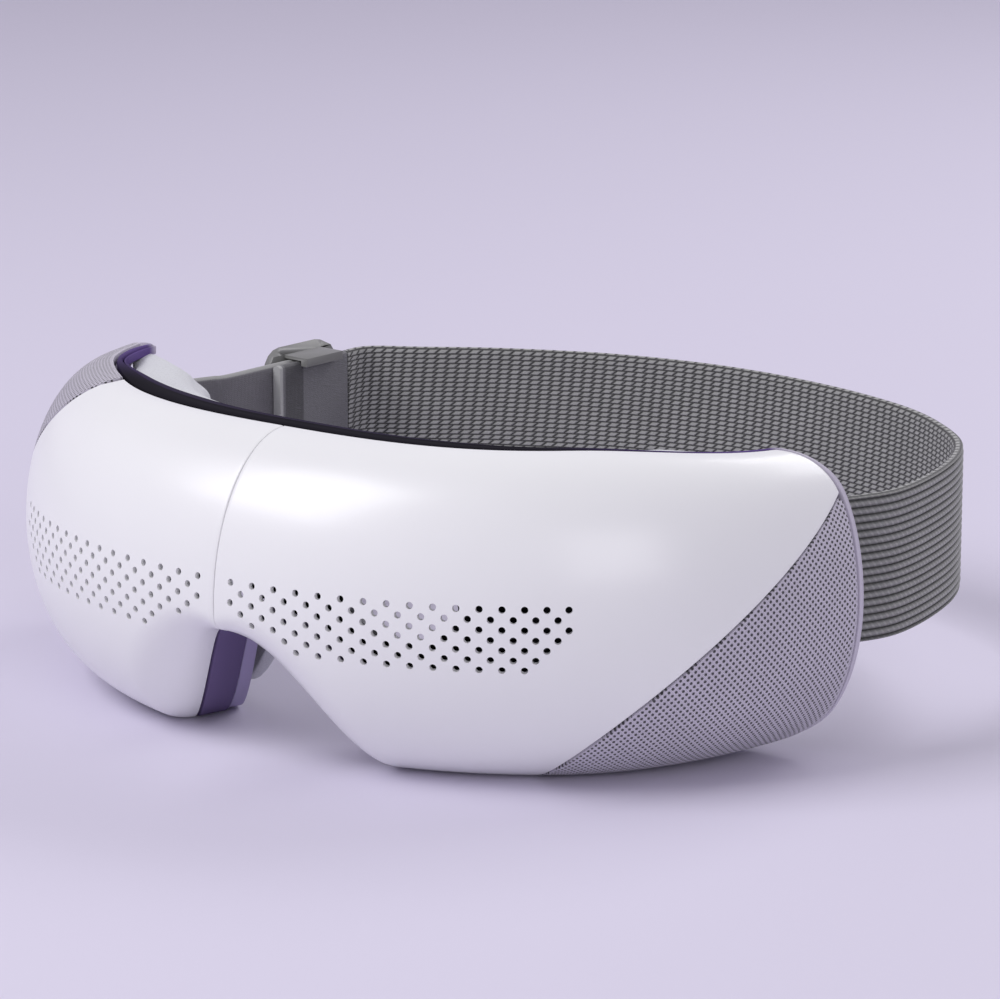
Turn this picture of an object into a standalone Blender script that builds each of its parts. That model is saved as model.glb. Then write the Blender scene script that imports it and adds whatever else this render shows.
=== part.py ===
"""Eye massager mask with a perforated two-piece front, face cushions and a head strap.

Everything that follows the face is drawn in three mask coordinates: s runs along the
front ridge from the seam to the temple, t runs inwards from the ridge, and z is the height.
Sizes are in millimetres and angles in degrees. Right is +X, the wearer's side is +Y.
"""
import math

import bmesh
import bpy
import numpy as np
from mathutils import Matrix, Vector

MM = 0.001

# Plan of the front ridge, a superellipse quarter on each side of the seam
RIDGE_HALF_WIDTH = 102.27
RIDGE_DEPTH = 94.06
RIDGE_POWER = 2.12
FRONT_Y = -88.45
TEMPLE_Y = -8.5

# Section of the shell, half an ellipse whose height falls towards the temple
RIDGE_Z = 33.7
SECTION_DEPTH = 23.0
TEMPLE_SECTION_DEPTH = 20.4
TOP_RISE = 33.5
TEMPLE_TOP_RISE = 29.5
BOTTOM_DROP = 33.7
TEMPLE_BOTTOM_DROP = 26.0
FALL_START = 0.55
SHELL_WALL = 2.0

# Arch over the nose, a raised cosine with a rolled edge
NOTCH_HEIGHT = 28.4
NOTCH_HALF_WIDTH = 28.0
NOTCH_ROLL_TOP = 3.5
NOTCH_ROLL_SIDE = 8.5
ARCH_SNAP = 0.01

# Line where the white shell meets the knitted temple cover
TIP_Z = 56.0
COVER_LINE_FOOT_S = 70.0
COVER_LINE_BOW = 2.8
COVER_END_SHARE = 0.04

# Perforation, a quincunx of half-pitch columns and rows
HOLE_COLUMNS = 31
HOLE_ROWS = 7
HOLE_DIAMETER = 1.45
HOLE_FIRST_S = 4.3
HOLE_COLUMN_PITCH = 2.65
HOLE_PITCH_LOSS = 0.0085
HOLE_TOP_Z = 39.9
HOLE_ROW_PITCH = 2.05
HOLE_SIDES = 6

# Black rear frame, pale bezel and mounting plate
FRAME_BAND = 7.0
FRAME_TEMPLE_BAND = 3.0
FRAME_REAR_BAND = 1.0
FRAME_NOTCH_BAND = 9.4
FRAME_WALL = 2.2
RIM_CORNER = 12.0
TEMPLE_FADE = 30.0
BEZEL_BAND = 3.8
BEZEL_TEMPLE_BAND = 0.8
BEZEL_WALL = 1.8
BEZEL_STEP = 0.4
PLATE_SETBACK = 4.9
PLATE_WALL = 2.0
PLATE_BRIDGE_RELIEF = 13.0
PLATE_BRIDGE_HALF_WIDTH = 22.0
PLATE_BRIDGE_TOP_Z = 60.0
PLATE_BRIDGE_FADE = 32.0
PLATE_WRAP_LENGTH = 20.0
PLATE_END_DEPTH = 13.5
PLATE_END_SETBACK = 7.0

# Eye opening and cushion outline, in s and z
EYE_S = 31.0
EYE_Z = 32.0
EYE_HALF_WIDTH = 17.0
EYE_HALF_HEIGHT = 13.0
SIGHT_HALF_WIDTH = 12.0
SIGHT_HALF_HEIGHT = 8.5
CUSHION_START_S = 8.0
CUSHION_END_S = 140.5
CUSHION_Z = 34.0
CUSHION_HALF_HEIGHT = 28.5
CUSHION_POWER = 4.5
CUSHION_NOSE_CROWN = 5.0
CUSHION_TEMPLE_CROWN = 12.0
CUSHION_SETBACK = 11.6
CUSHION_FOOT_INSET = 0.04
CUSHION_SIDE_LIFT = 0.32
CUSHION_SWELL_POWER = 3.5
AIRBAG_WALL = 3.0
AIRBAG_START_S = 50.0
AIRBAG_END_S = 112.0
AIRBAG_HALF_HEIGHT = 22.0
FILM_WALL = 0.5

# Head strap; its route is given as the outset from the temple's edge and the way back from it
STRAP_HEIGHT = 31.0
STRAP_BOTTOM_Z = 22.0
STRAP_WALL = 2.2
STRAP_INSET = 12.77
STRAP_START = -13.5
RIGHT_ROUTE = (
    (-12.77, -4.5), (-9.87, 6.5), (-4.27, 21.5), (-7.27, 44.5), (-14.87, 62.5),
    (-26.87, 75.1), (-43.47, 85.5), (-68.47, 93.1), (-95.87, 95.7),
)
LEFT_ROUTE = ((-79.47, 91.5), (-54.47, 81.1), (-37.47, 70.5), (-29.07, 65.5))
SIDE_ROUTE = ((-12.77, -4.5), (-12.87, 2.5), (-16.07, 10.0), (-19.27, 17.5))
RUN_LEAD = 5.0
RUN_FRONT = (-22.47, 9.0)
RUN_BACK = (-26.07, 57.0)
TAB_LENGTH = 22.5
LEFT_BAND_LENGTH = 46.0
SLIDER_LENGTH = 22.0
SLIDER_HEIGHT = 36.0
SLIDER_WALL = 1.8
SLIDER_CORNER = 5.0
SLIDER_LIP = 1.2
SLIDER_AT = 38.0
ANCHOR_LENGTH = 10.0
ANCHOR_HEIGHT = 20.0
ANCHOR_WALL = 1.4
ANCHOR_GRIP = 7.0

# Works inside the shells
BATTERY_SIZE = (36.0, 8.0, 22.0)
BATTERY_S = 92.0
BOARD_SIZE = (38.0, 1.6, 26.0)
BOARD_S = 92.0
BOARD_Z = 28.0
CHIP_SIZE = (8.0, 2.2, 8.0)
CHIP_SINK = 0.2
PUMP_MOTOR_RADIUS = 6.0
PUMP_MOTOR_LENGTH = 17.0
PUMP_HEAD_SIZE = (12.0, 13.0, 13.0)
PUMP_S = 84.0
PUMP_Z = 51.0
VALVE_RADIUS = 4.5
VALVE_LENGTH = 14.0
MOTOR_RADIUS = 4.0
MOTOR_LENGTH = 11.0
MOTOR_SHAFT_RADIUS = 0.8
MOTOR_S = 58.0
MOTOR_Z = 14.0
WEIGHT_RADIUS = 3.4
WEIGHT_LENGTH = 4.0
WEIGHT_TOP = 1.6
SHAFT_CLEARANCE = 0.15
SHAFT_ROOT = 2.0
TUBE_RADIUS = 1.8
TEE_SIZE = (12.0, 6.0, 6.0)
TEE_Z = 55.0
PORT_RADIUS = 2.2
PORT_S = 54.0
PORT_Z = 49.0
SCREW_SHANK_RADIUS = 1.0
SCREW_HEAD_RADIUS = 2.2
SCREW_HEAD_LENGTH = 1.6
SCREW_LENGTH = 6.0
SCREW_PLACES = ((13.0, 6.2), (117.0, 14.5))

# Button and charging socket in the underside of the frame
UNDERSIDE_S = 112.0
BUTTON_SIZE = (8.4, 3.2)
BUTTON_PROUD = 0.8
BUTTON_TRAVEL = 0.8
BUTTON_HEIGHT = 5.0
SWITCH_SIZE = (7.0, 3.2, 3.4)
SOCKET_SIZE = (9.0, 3.2, 7.0)
SOCKET_WALL = 0.7

# Clearances: between seated pieces, and along the long joints of the shells
GAP = 0.3
RIM_GAP = 0.7

# Facets
SHELL_COLUMNS = 20
SHELL_ROWS = 10
LOOP_STEPS = 12
STRAP_STEPS = 44
CUSHION_STEPS = 26
ROUND_SIDES = 14

FINISHES = {
    "white": ((0.86, 0.86, 0.88), 0.35, 0.0),
    "black": ((0.012, 0.011, 0.014), 0.12, 0.0),
    "bezel": ((0.62, 0.58, 0.70), 0.40, 0.0),
    "plate": ((0.20, 0.20, 0.21), 0.55, 0.0),
    "leather": ((0.78, 0.78, 0.80), 0.60, 0.0),
    "knit": ((0.50, 0.47, 0.55), 0.85, 0.0),
    "mesh": ((0.27, 0.27, 0.28), 0.80, 0.0),
    "band": ((0.16, 0.16, 0.17), 0.75, 0.0),
    "grey": ((0.30, 0.30, 0.31), 0.45, 0.0),
    "film": ((0.55, 0.30, 0.10), 0.40, 0.0),
    "rubber": ((0.70, 0.68, 0.62), 0.60, 0.0),
    "steel": ((0.60, 0.60, 0.62), 0.30, 1.0),
    "board": ((0.03, 0.20, 0.09), 0.50, 0.0),
    "cell": ((0.10, 0.22, 0.45), 0.45, 0.0),
}


def clear_scene():
    for item in list(bpy.data.objects):
        bpy.data.objects.remove(item, do_unlink=True)


def new_collection(name):
    group = bpy.data.collections.new(name)
    bpy.context.scene.collection.children.link(group)
    return group


clear_scene()
PARTS = new_collection("eye_massager_mask")
CUTTERS = new_collection("cutters")


def smooth_step(value):
    value = min(max(value, 0.0), 1.0)
    return value * value * (3.0 - 2.0 * value)


def ridge_table(samples=3000):
    """Arc length, x and y along the ridge, from the seam past the temple."""
    angle = np.linspace(0.0, math.pi / 2, samples)
    x = RIDGE_HALF_WIDTH * np.sin(angle) ** (2 / RIDGE_POWER)
    y = FRONT_Y + RIDGE_DEPTH * (1 - np.cos(angle) ** (2 / RIDGE_POWER))
    step = np.hypot(np.diff(x), np.diff(y))
    return np.concatenate(([0.0], np.cumsum(step))), x, y


RIDGE_S, RIDGE_X, RIDGE_Y = ridge_table()
END_S = float(np.interp(TEMPLE_Y, RIDGE_Y, RIDGE_S))


def ridge(s):
    """Point and outward normal of the ridge, in plan."""
    reach = 0.3
    low, high = max(s - reach, 0.0), s + reach
    x, y = np.interp(s, RIDGE_S, RIDGE_X), np.interp(s, RIDGE_S, RIDGE_Y)
    dx = np.interp(high, RIDGE_S, RIDGE_X) - np.interp(low, RIDGE_S, RIDGE_X)
    dy = np.interp(high, RIDGE_S, RIDGE_Y) - np.interp(low, RIDGE_S, RIDGE_Y)
    if s <= reach:
        dy = 0.0
    length = math.hypot(dx, dy)
    return float(x), float(y), float(dy / length), float(-dx / length)


def place(s, t, z):
    """World point of mask coordinates on the right half."""
    x, y, nx, ny = ridge(s)
    return Vector((x - nx * t, y - ny * t, z))


def turn_at(s):
    """Turn about Z that lays local X along the ridge and local Y towards the wearer."""
    nx, ny = ridge(s)[2:]
    return math.atan2(nx, -ny)


def section(s):
    """Depth, top rise and bottom drop of the shell section."""
    fall = smooth_step((s / END_S - FALL_START) / (1 - FALL_START))
    depth = SECTION_DEPTH + (TEMPLE_SECTION_DEPTH - SECTION_DEPTH) * fall
    rise = TOP_RISE + (TEMPLE_TOP_RISE - TOP_RISE) * fall
    drop = BOTTOM_DROP + (TEMPLE_BOTTOM_DROP - BOTTOM_DROP) * fall
    return depth, rise, drop


def notch_z(s):
    """Height of the nose arch, which meets the bottom rim at its half width."""
    if s >= NOTCH_HALF_WIDTH:
        return 0.0
    return 0.5 * NOTCH_HEIGHT * (1 + math.cos(math.pi * s / NOTCH_HALF_WIDTH))


def notch_slope(s):
    swing = math.pi / NOTCH_HALF_WIDTH
    return -0.5 * NOTCH_HEIGHT * swing * math.sin(swing * min(s, NOTCH_HALF_WIDTH))


def notch_roll(s):
    """Radius of the rolled edge along the arch, nothing where it meets the bottom rim."""
    share = min(s / NOTCH_HALF_WIDTH, 1.0)
    return NOTCH_ROLL_TOP * (1 - share) + NOTCH_ROLL_SIDE * math.sin(math.pi * share)


ARCH = [(s, notch_z(s)) for s in np.linspace(0.0, NOTCH_HALF_WIDTH, 80)]


def to_segment(s, z, first, last):
    """Distance from a spot to a straight piece of the arch, and s where it is nearest."""
    ahead = (last[0] - first[0], last[1] - first[1])
    share = (s - first[0]) * ahead[0] + (z - first[1]) * ahead[1]
    share = min(max(share / (ahead[0] ** 2 + ahead[1] ** 2), 0.0), 1.0)
    near = (first[0] + share * ahead[0], first[1] + share * ahead[1])
    return math.hypot(s - near[0], z - near[1]), near[0]


def roll_depth(s, z):
    """Extra depth of the skin near the arch, a quarter round down to the rolled edge."""
    if s > NOTCH_HALF_WIDTH + NOTCH_ROLL_SIDE:
        return 0.0
    distance, near = min(to_segment(s, z, *ends) for ends in zip(ARCH, ARCH[1:]))
    distance = distance if distance > ARCH_SNAP else 0.0
    radius = notch_roll(near)
    if distance >= radius or radius <= 0.0:
        return 0.0
    away = 1 - distance / radius
    return radius * (1 - math.sqrt(max(1 - away * away, 0.0)))


def phi_at(s, z):
    rise, drop = section(s)[1:]
    lift = (z - RIDGE_Z) / (rise if z >= RIDGE_Z else drop)
    return math.asin(min(max(lift, -1.0), 1.0))


def skin_tz(s, phi):
    """Depth and height of the outer skin at a section angle."""
    depth, rise, drop = section(s)
    z = RIDGE_Z + (rise if phi >= 0 else drop) * math.sin(phi)
    return depth * (1 - math.cos(phi)) + roll_depth(s, z), z


def skin(s, phi):
    t, z = skin_tz(s, phi)
    return place(s, t, z)


def skin_normal(s, phi):
    reach = 0.02
    along = skin(s + reach, phi) - skin(max(s - reach, 0.0), phi)
    up = skin(s, phi + reach) - skin(s, phi - reach)
    return along.cross(up).normalized()


def path_point(points, share):
    """Point at a share of the length of a run of straight steps."""
    points = [Vector(p) for p in points]
    lengths = [(b - a).length for a, b in zip(points, points[1:])]
    left = share * sum(lengths)
    for start, end, length in zip(points, points[1:], lengths):
        if left <= length:
            return start.lerp(end, left / length if length else 0.0)
        left -= length
    return points[-1]


def top_path(s_first, s_last, z_last):
    """Top rim, then down the rear edge to a height, in s and z."""
    run = [(s, RIDGE_Z + section(s)[1]) for s in np.linspace(s_first, s_last, 40)]
    return run + [(s_last, z) for z in np.linspace(run[-1][1], z_last, 6)[1:]]


def bottom_path(s_first, s_last):
    """Nose arch, then the bottom rim."""
    steps = np.linspace(s_first, NOTCH_HALF_WIDTH, 40)
    arch = [(s, max(notch_z(s), RIDGE_Z - section(s)[2])) for s in steps]
    rim = [(s, RIDGE_Z - section(s)[2]) for s in np.linspace(NOTCH_HALF_WIDTH, s_last, 40)[1:]]
    return arch + rim


def cover_line(share):
    """Line between shell and temple cover, from the tip down to the bottom rim."""
    foot_z = RIDGE_Z - section(COVER_LINE_FOOT_S)[2]
    s = END_S + (COVER_LINE_FOOT_S - END_S) * share
    z = TIP_Z + (foot_z - TIP_Z) * share + COVER_LINE_BOW * 4 * share * (1 - share)
    return s, z


def mesh_object(name, points, faces, side=1):
    """One mesh from points in millimetres; side -1 gives the left-hand twin."""
    mesh = bpy.data.meshes.new(name)
    places = [(side * p[0] * MM, p[1] * MM, p[2] * MM) for p in points]
    if side < 0:
        faces = [tuple(reversed(face)) for face in faces]
    mesh.from_pydata(places, [], faces)
    mesh.update()
    item = bpy.data.objects.new(name, mesh)
    PARTS.objects.link(item)
    return item


def grid_faces(columns, rows, start=0):
    """Quads of a grid stored column by column, facing out for the skin of the right half."""
    faces = []
    for i in range(columns - 1):
        for j in range(rows - 1):
            a = start + i * rows + j
            faces.append((a, a + 1, a + rows + 1, a + rows))
    return faces


def coat(item, look):
    """Give a part its own material."""
    colour, rough, metal = FINISHES[look]
    material = bpy.data.materials.new(item.name)
    material.use_nodes = True
    shader = material.node_tree.nodes["Principled BSDF"]
    shader.inputs["Base Color"].default_value = (*colour, 1.0)
    shader.inputs["Roughness"].default_value = rough
    shader.inputs["Metallic"].default_value = metal
    material.diffuse_color = (*colour, 1.0)
    item.data.materials.clear()
    item.data.materials.append(material)
    return item


def finish(item, look, smooth_angle=40):
    """Coat a part and smooth its round faces."""
    coat(item, look)
    item.data.shade_smooth()
    item.data.set_sharp_from_angle(angle=math.radians(smooth_angle))
    return item


def move_to(item, group):
    for old in list(item.users_collection):
        old.objects.unlink(item)
    group.objects.link(item)


def as_cutter(item):
    move_to(item, CUTTERS)
    item.hide_render = True
    item.display_type = "WIRE"
    return item


def box(name, size, at, turn=0.0, bevel=0.0):
    """Box of a size in millimetres, turned about Z, with bevelled edges."""
    bpy.ops.mesh.primitive_cube_add(size=1.0)
    item = bpy.context.object
    item.name = item.data.name = name
    item.data.transform(Matrix.Diagonal((*[v * MM for v in size], 1.0)))
    item.location = Vector(at) * MM
    item.rotation_euler = (0.0, 0.0, turn)
    move_to(item, PARTS)
    if bevel:
        edge = item.modifiers.new("edge", "BEVEL")
        edge.width = bevel * MM
        edge.segments = 1
    return item


def cylinder(name, radius, length, at, turn=0.0, axis="Z", sides=ROUND_SIDES):
    """Cylinder whose axis is Z, local X or local Y before the turn about Z."""
    bpy.ops.mesh.primitive_cylinder_add(vertices=sides, radius=radius * MM, depth=length * MM)
    item = bpy.context.object
    item.name = item.data.name = name
    if axis == "X":
        item.data.transform(Matrix.Rotation(math.radians(90), 4, "Y"))
    elif axis == "Y":
        item.data.transform(Matrix.Rotation(math.radians(-90), 4, "X"))
    item.location = Vector(at) * MM
    item.rotation_euler = (0.0, 0.0, turn)
    move_to(item, PARTS)
    return item


def boolean(item, other, operation="DIFFERENCE"):
    step = item.modifiers.new(operation.lower(), "BOOLEAN")
    step.operation = operation
    step.solver = "EXACT"
    step.object = other
    return item


def mirrored(item):
    """Join the right half to its twin across the seam."""
    twin = item.modifiers.new("mirror", "MIRROR")
    twin.use_clip = True
    twin.merge_threshold = 0.05 * MM
    return item


def thicken(item, wall):
    """Thicken an open skin inwards."""
    step = item.modifiers.new("wall", "SOLIDIFY")
    step.thickness = wall * MM
    step.offset = -1.0
    return item


def seat(side, s, t, z):
    """World place and turn of a piece that sits on the mask's curve."""
    at = place(s, t, z)
    return Vector((side * at.x, at.y, at.z)), side * turn_at(s)


def side_name(side):
    return "right" if side > 0 else "left"


def row_shares():
    """Shares down a shell column, closer together at the foot, where the edge is rolled."""
    even = [j / SHELL_ROWS for j in range(SHELL_ROWS - 1)]
    return even + [0.88, 0.94, 0.98, 1.0]


def build_shell(side):
    """Perforated front shell: an open lofted skin, thickened inwards, with its holes cut."""
    shares = row_shares()
    seam_s = GAP / 2
    tops = top_path(seam_s, END_S, TIP_Z)
    feet = bottom_path(seam_s, COVER_LINE_FOOT_S)
    last_top = Vector((END_S, phi_at(END_S, TIP_Z)))
    last_foot = Vector((COVER_LINE_FOOT_S, -math.pi / 2))
    points = []
    for i in range(SHELL_COLUMNS + 1):
        along = i / SHELL_COLUMNS
        top, foot = path_point(tops, along), path_point(feet, along)
        start, end = Vector((top[0], phi_at(*top))), Vector((foot[0], phi_at(*foot)))
        for down in shares:
            line_s, line_z = cover_line(down)
            pull = Vector((line_s, phi_at(line_s, line_z))) - last_top.lerp(last_foot, down)
            s, phi = start.lerp(end, down) + pull * along ** 2
            points.append(skin(s, phi))
    faces = grid_faces(SHELL_COLUMNS + 1, len(shares))
    shell = thicken(mesh_object(f"front_shell_{side_name(side)}", points, faces, side), SHELL_WALL)
    boolean(shell, hole_cutter(side))
    return finish(shell, "white")


def hole_places():
    """Hole centres in s and z: the first and last columns stop higher, as the nose arch needs."""
    shortened = {1: 3, 2: 4, 3: 5, 4: 4, 5: 5, 29: 5, 30: 4, 31: 3}
    for column in range(1, HOLE_COLUMNS + 1):
        step = column - 1
        s = HOLE_FIRST_S + HOLE_COLUMN_PITCH * step - HOLE_PITCH_LOSS * step * step
        lowest = shortened.get(column, HOLE_ROWS)
        for row in range(2 - column % 2, lowest + 1, 2):
            yield s, HOLE_TOP_Z - HOLE_ROW_PITCH * (row - 1)


def hole_cutter(side):
    """All holes of one shell as short prisms, square to the skin."""
    prisms = bmesh.new()
    length = SHELL_WALL * 3
    for s, z in hole_places():
        phi = phi_at(s, z)
        axis = skin_normal(s, phi)
        centre = skin(s, phi) - axis * SHELL_WALL / 2
        axis.x, centre.x = axis.x * side, centre.x * side
        turn = axis.to_track_quat("Z", "Y").to_matrix().to_4x4()
        radius = HOLE_DIAMETER / 2 * MM
        bmesh.ops.create_cone(
            prisms, cap_ends=True, segments=HOLE_SIDES, radius1=radius, radius2=radius,
            depth=length * MM, matrix=Matrix.Translation(centre * MM) @ turn)
    mesh = bpy.data.meshes.new(f"holes_{side_name(side)}")
    prisms.to_mesh(mesh)
    prisms.free()
    item = bpy.data.objects.new(mesh.name, mesh)
    CUTTERS.objects.link(item)
    return as_cutter(item)


def build_temple_cover(side, rows=5):
    """Knit-covered temple panel: the crescent between the cover line and the rear edge."""
    top_z, foot_z = TIP_Z, RIDGE_Z - section(END_S)[2]
    edge = [(END_S, z) for z in np.linspace(top_z, foot_z, 20)]
    edge += [(s, RIDGE_Z - section(s)[2]) for s in np.linspace(END_S, COVER_LINE_FOOT_S, 20)[1:]]
    points = []
    first, last = COVER_END_SHARE, 1 - COVER_END_SHARE
    shares = [first] + [share for share in row_shares() if first < share < last] + [last]
    for share in shares:
        s0, z0 = cover_line(share)
        s1, z1 = path_point(edge, share)
        phi0, phi1 = phi_at(s0, z0), phi_at(s1, z1)
        span = math.hypot(s1 - s0, z1 - z0)
        for j in range(rows + 1):
            across = RIM_GAP / span + (1 - RIM_GAP / span) * j / rows
            points.append(skin(s0 + (s1 - s0) * across, phi0 + (phi1 - phi0) * across))
    faces = [tuple(reversed(face)) for face in grid_faces(len(shares), rows + 1)]
    cover = mesh_object(f"temple_cover_{side_name(side)}", points, faces, side)
    return finish(thicken(cover, SHELL_WALL), "knit")


def corner_way(s):
    """Way back from the rim, in s and t: straight in, swinging round towards the temple's edge."""
    swing = math.radians(45) * smooth_step((s - END_S + RIM_CORNER) / RIM_CORNER)
    return math.sin(swing), math.cos(swing)


def rim_loop(steps):
    """Stations round the rim of the right half, from the top of the seam to the top of the arch.

    Each station is (s, t, z), the way back in s and t, and the way in to the body.
    """
    stations = []
    for s in np.linspace(0.0, END_S, 2 * steps)[:-1]:
        depth, rise = section(s)[:2]
        stations.append(((s, depth, RIDGE_Z + rise), corner_way(s), (0.0, 0.0, -1.0)))
    depth, rise, drop = section(END_S)
    for phi in np.radians(np.linspace(90.0, -90.0, steps + 1)):
        reach = rise if phi >= 0 else drop
        z = RIDGE_Z + reach * math.sin(phi)
        inward = Vector((0.0, math.cos(phi) * reach, -math.sin(phi) * depth)).normalized()
        steep = smooth_step((abs(math.degrees(phi)) - 55) / 35)
        swing = math.radians(90 - 45 * steep)
        back = (math.sin(swing), math.cos(swing))
        stations.append(((END_S, depth * (1 - math.cos(phi)), z), back, tuple(inward)))
    for s in np.linspace(END_S, NOTCH_HALF_WIDTH, 2 * steps)[1:]:
        depth, rise, drop = section(s)
        stations.append(((s, depth, RIDGE_Z - drop), corner_way(s), (0.0, 0.0, 1.0)))
    for s in np.linspace(NOTCH_HALF_WIDTH, 0.0, steps + 1)[1:]:
        z = notch_z(s)
        t = section(s)[0] * (1 - math.cos(phi_at(s, z))) + notch_roll(s)
        slope = notch_slope(s)
        length = math.hypot(slope, 1.0)
        stations.append(((s, t, z), (0.0, 1.0), (-slope / length, 0.0, 1 / length)))
    return stations


def band_at(s, z):
    """Depth of the black band: narrow at the temple and down its edge, wide in the nose arch."""
    fall = smooth_step((s - END_S + TEMPLE_FADE) / TEMPLE_FADE)
    band = FRAME_BAND + (FRAME_TEMPLE_BAND - FRAME_BAND) * fall
    top = RIDGE_Z + section(s)[1]
    band += (FRAME_REAR_BAND - FRAME_TEMPLE_BAND) * fall * smooth_step((top - z) / (top - TIP_Z))
    if z < RIDGE_Z and s < NOTCH_HALF_WIDTH:
        band += (FRAME_NOTCH_BAND - FRAME_BAND) * math.cos(math.pi * s / NOTCH_HALF_WIDTH / 2)
    return band


def rim_band(name, start, band, wall, inset, look):
    """Swept band behind the rim, mirrored across the seam into one closed ring."""
    points, faces = [], []
    for (s, t, z), (back_s, back_t), inward in rim_loop(LOOP_STEPS):
        front = start(s, z) + RIM_GAP * (1 / max(back_s, back_t) ** 3 - 1)
        rear = front + band(s, z)
        for along, deep in ((front, 0.0), (rear, 0.0), (rear, wall), (front, wall)):
            move = inset + deep
            ps = max(s + back_s * along + inward[0] * move, 0.0)
            if s == 0.0:
                ps = 0.0
            points.append(place(ps, t + back_t * along + inward[1] * move, z + inward[2] * move))
    count = len(points) // 4
    for i in range(count - 1):
        for k in range(4):
            a, b = i * 4 + k, i * 4 + (k + 1) % 4
            faces.append((a, a + 4, b + 4, b))
    return finish(mirrored(mesh_object(name, points, faces)), look)


def build_frame():
    frame = rim_band("rear_frame", lambda s, z: RIM_GAP, band_at, FRAME_WALL, 0.0, "black")
    for side, name, size in ((-1, "button_hole", BUTTON_SIZE), (1, "socket_hole", SOCKET_SIZE)):
        at, turn = underside(side, 0.0)
        hole = box(name, (size[0] + 2 * GAP, size[1] + 2 * GAP, 4 * FRAME_WALL), at, turn)
        boolean(frame, as_cutter(hole))
    return frame


def build_bezel():
    return rim_band(
        "cushion_bezel", lambda s, z: RIM_GAP + band_at(s, z) + GAP, bezel_band_at,
        BEZEL_WALL, BEZEL_STEP, "bezel")


def bezel_band_at(s, z):
    """Depth of the pale band, narrow at the temple."""
    fall = smooth_step((s - END_S + TEMPLE_FADE) / TEMPLE_FADE)
    return BEZEL_BAND + (BEZEL_TEMPLE_BAND - BEZEL_BAND) * fall


def underside(side, above):
    """Place on the bottom of the frame near the temple, a height above its outer face."""
    depth, rise, drop = section(UNDERSIDE_S)
    front = depth + RIM_GAP + GAP
    return seat(side, UNDERSIDE_S, front + SOCKET_SIZE[1] / 2, RIDGE_Z - drop + above)


def plate_depth(s, z):
    """Depth of the mounting plate's front, drawn forwards behind the nose arch and at the temple."""
    bridge = smooth_step(1 - s / PLATE_BRIDGE_HALF_WIDTH)
    bridge *= smooth_step((PLATE_BRIDGE_TOP_Z - z) / PLATE_BRIDGE_FADE)
    wrap = smooth_step((s - END_S + PLATE_WRAP_LENGTH) / PLATE_WRAP_LENGTH)
    flat = section(s)[0] + PLATE_SETBACK
    return flat - PLATE_BRIDGE_RELIEF * bridge + (PLATE_END_DEPTH - flat) * wrap


def arch_offset(s, distance):
    """Point beside the nose arch, square to it on the body's side."""
    slope = notch_slope(s)
    length = math.hypot(slope, 1.0)
    return s - slope / length * distance, notch_z(s) + distance / length


def inner_limits(s, edge):
    """Lowest and highest z of the plate at s, an edge inside the skin at the plate's own depth."""
    depth, rise, drop = section(s)
    share = min(plate_depth(s, RIDGE_Z) / depth, 1.0)
    spread = math.sqrt(1 - (1 - share) ** 2)
    return RIDGE_Z - (drop - edge) * spread, RIDGE_Z + (rise - edge) * spread


def build_plate(columns=16, rows=5):
    """Curved mounting plate inside the frame, with a sight opening before each eye."""
    edge = FRAME_WALL + 5 * GAP
    last_s = END_S - PLATE_END_SETBACK
    feet = [arch_offset(s, edge + 2 * GAP) for s in np.linspace(0, NOTCH_HALF_WIDTH, 30)]
    feet += [(s, inner_limits(s, edge)[0]) for s in np.linspace(NOTCH_HALF_WIDTH + edge, last_s, 60)]
    tops = [(s, inner_limits(s, edge)[1]) for s in np.linspace(0, last_s, 80)]
    front, back = [], []
    for i in range(columns + 1):
        top, foot = path_point(tops, i / columns), path_point(feet, i / columns)
        for j in range(rows + 1):
            s, z = top.lerp(foot, j / rows)
            s = 0.0 if i == 0 else s
            front.append(place(s, plate_depth(s, z), z))
            back.append(place(s, plate_depth(s, z) + PLATE_WALL, z))
    count, height = len(front), rows + 1
    faces = grid_faces(columns + 1, height)
    faces += [tuple(reversed(face)) for face in grid_faces(columns + 1, height, count)]
    for i in range(columns):
        a, b = i * height, (i + 1) * height
        faces.append((a, b, b + count, a + count))
        a, b = a + rows, b + rows
        faces.append((b, a, a + count, b + count))
    for j in range(rows):
        a = columns * height + j
        faces.append((a, a + 1, a + 1 + count, a + count))
    plate = mirrored(mesh_object("inner_plate", front + back, faces))
    for side in (1, -1):
        at, turn = seat(side, EYE_S, plate_depth(EYE_S, EYE_Z), EYE_Z)
        hole = cylinder(f"sight_{side_name(side)}", 1.0, 6 * PLATE_WALL, at, turn, axis="Y", sides=20)
        hole.data.transform(Matrix.Diagonal((SIGHT_HALF_WIDTH, 1.0, SIGHT_HALF_HEIGHT, 1.0)))
        boolean(plate, as_cutter(hole))
        at, turn = seat(side, PORT_S, plate_depth(PORT_S, PORT_Z), PORT_Z)
        port = cylinder(f"port_{side_name(side)}", PORT_RADIUS + GAP, 6 * PLATE_WALL, at, turn, axis="Y")
        boolean(plate, as_cutter(port))
        for number, (s, z) in enumerate(screw_places()):
            at, turn = seat(side, s, plate_depth(s, z), z)
            name = f"screw_{side_name(side)}_{number}"
            hole = cylinder(name, SCREW_SHANK_RADIUS + GAP, 6 * PLATE_WALL, at, turn, axis="Y", sides=10)
            boolean(plate, as_cutter(hole))
    return finish(plate, "plate")


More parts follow.
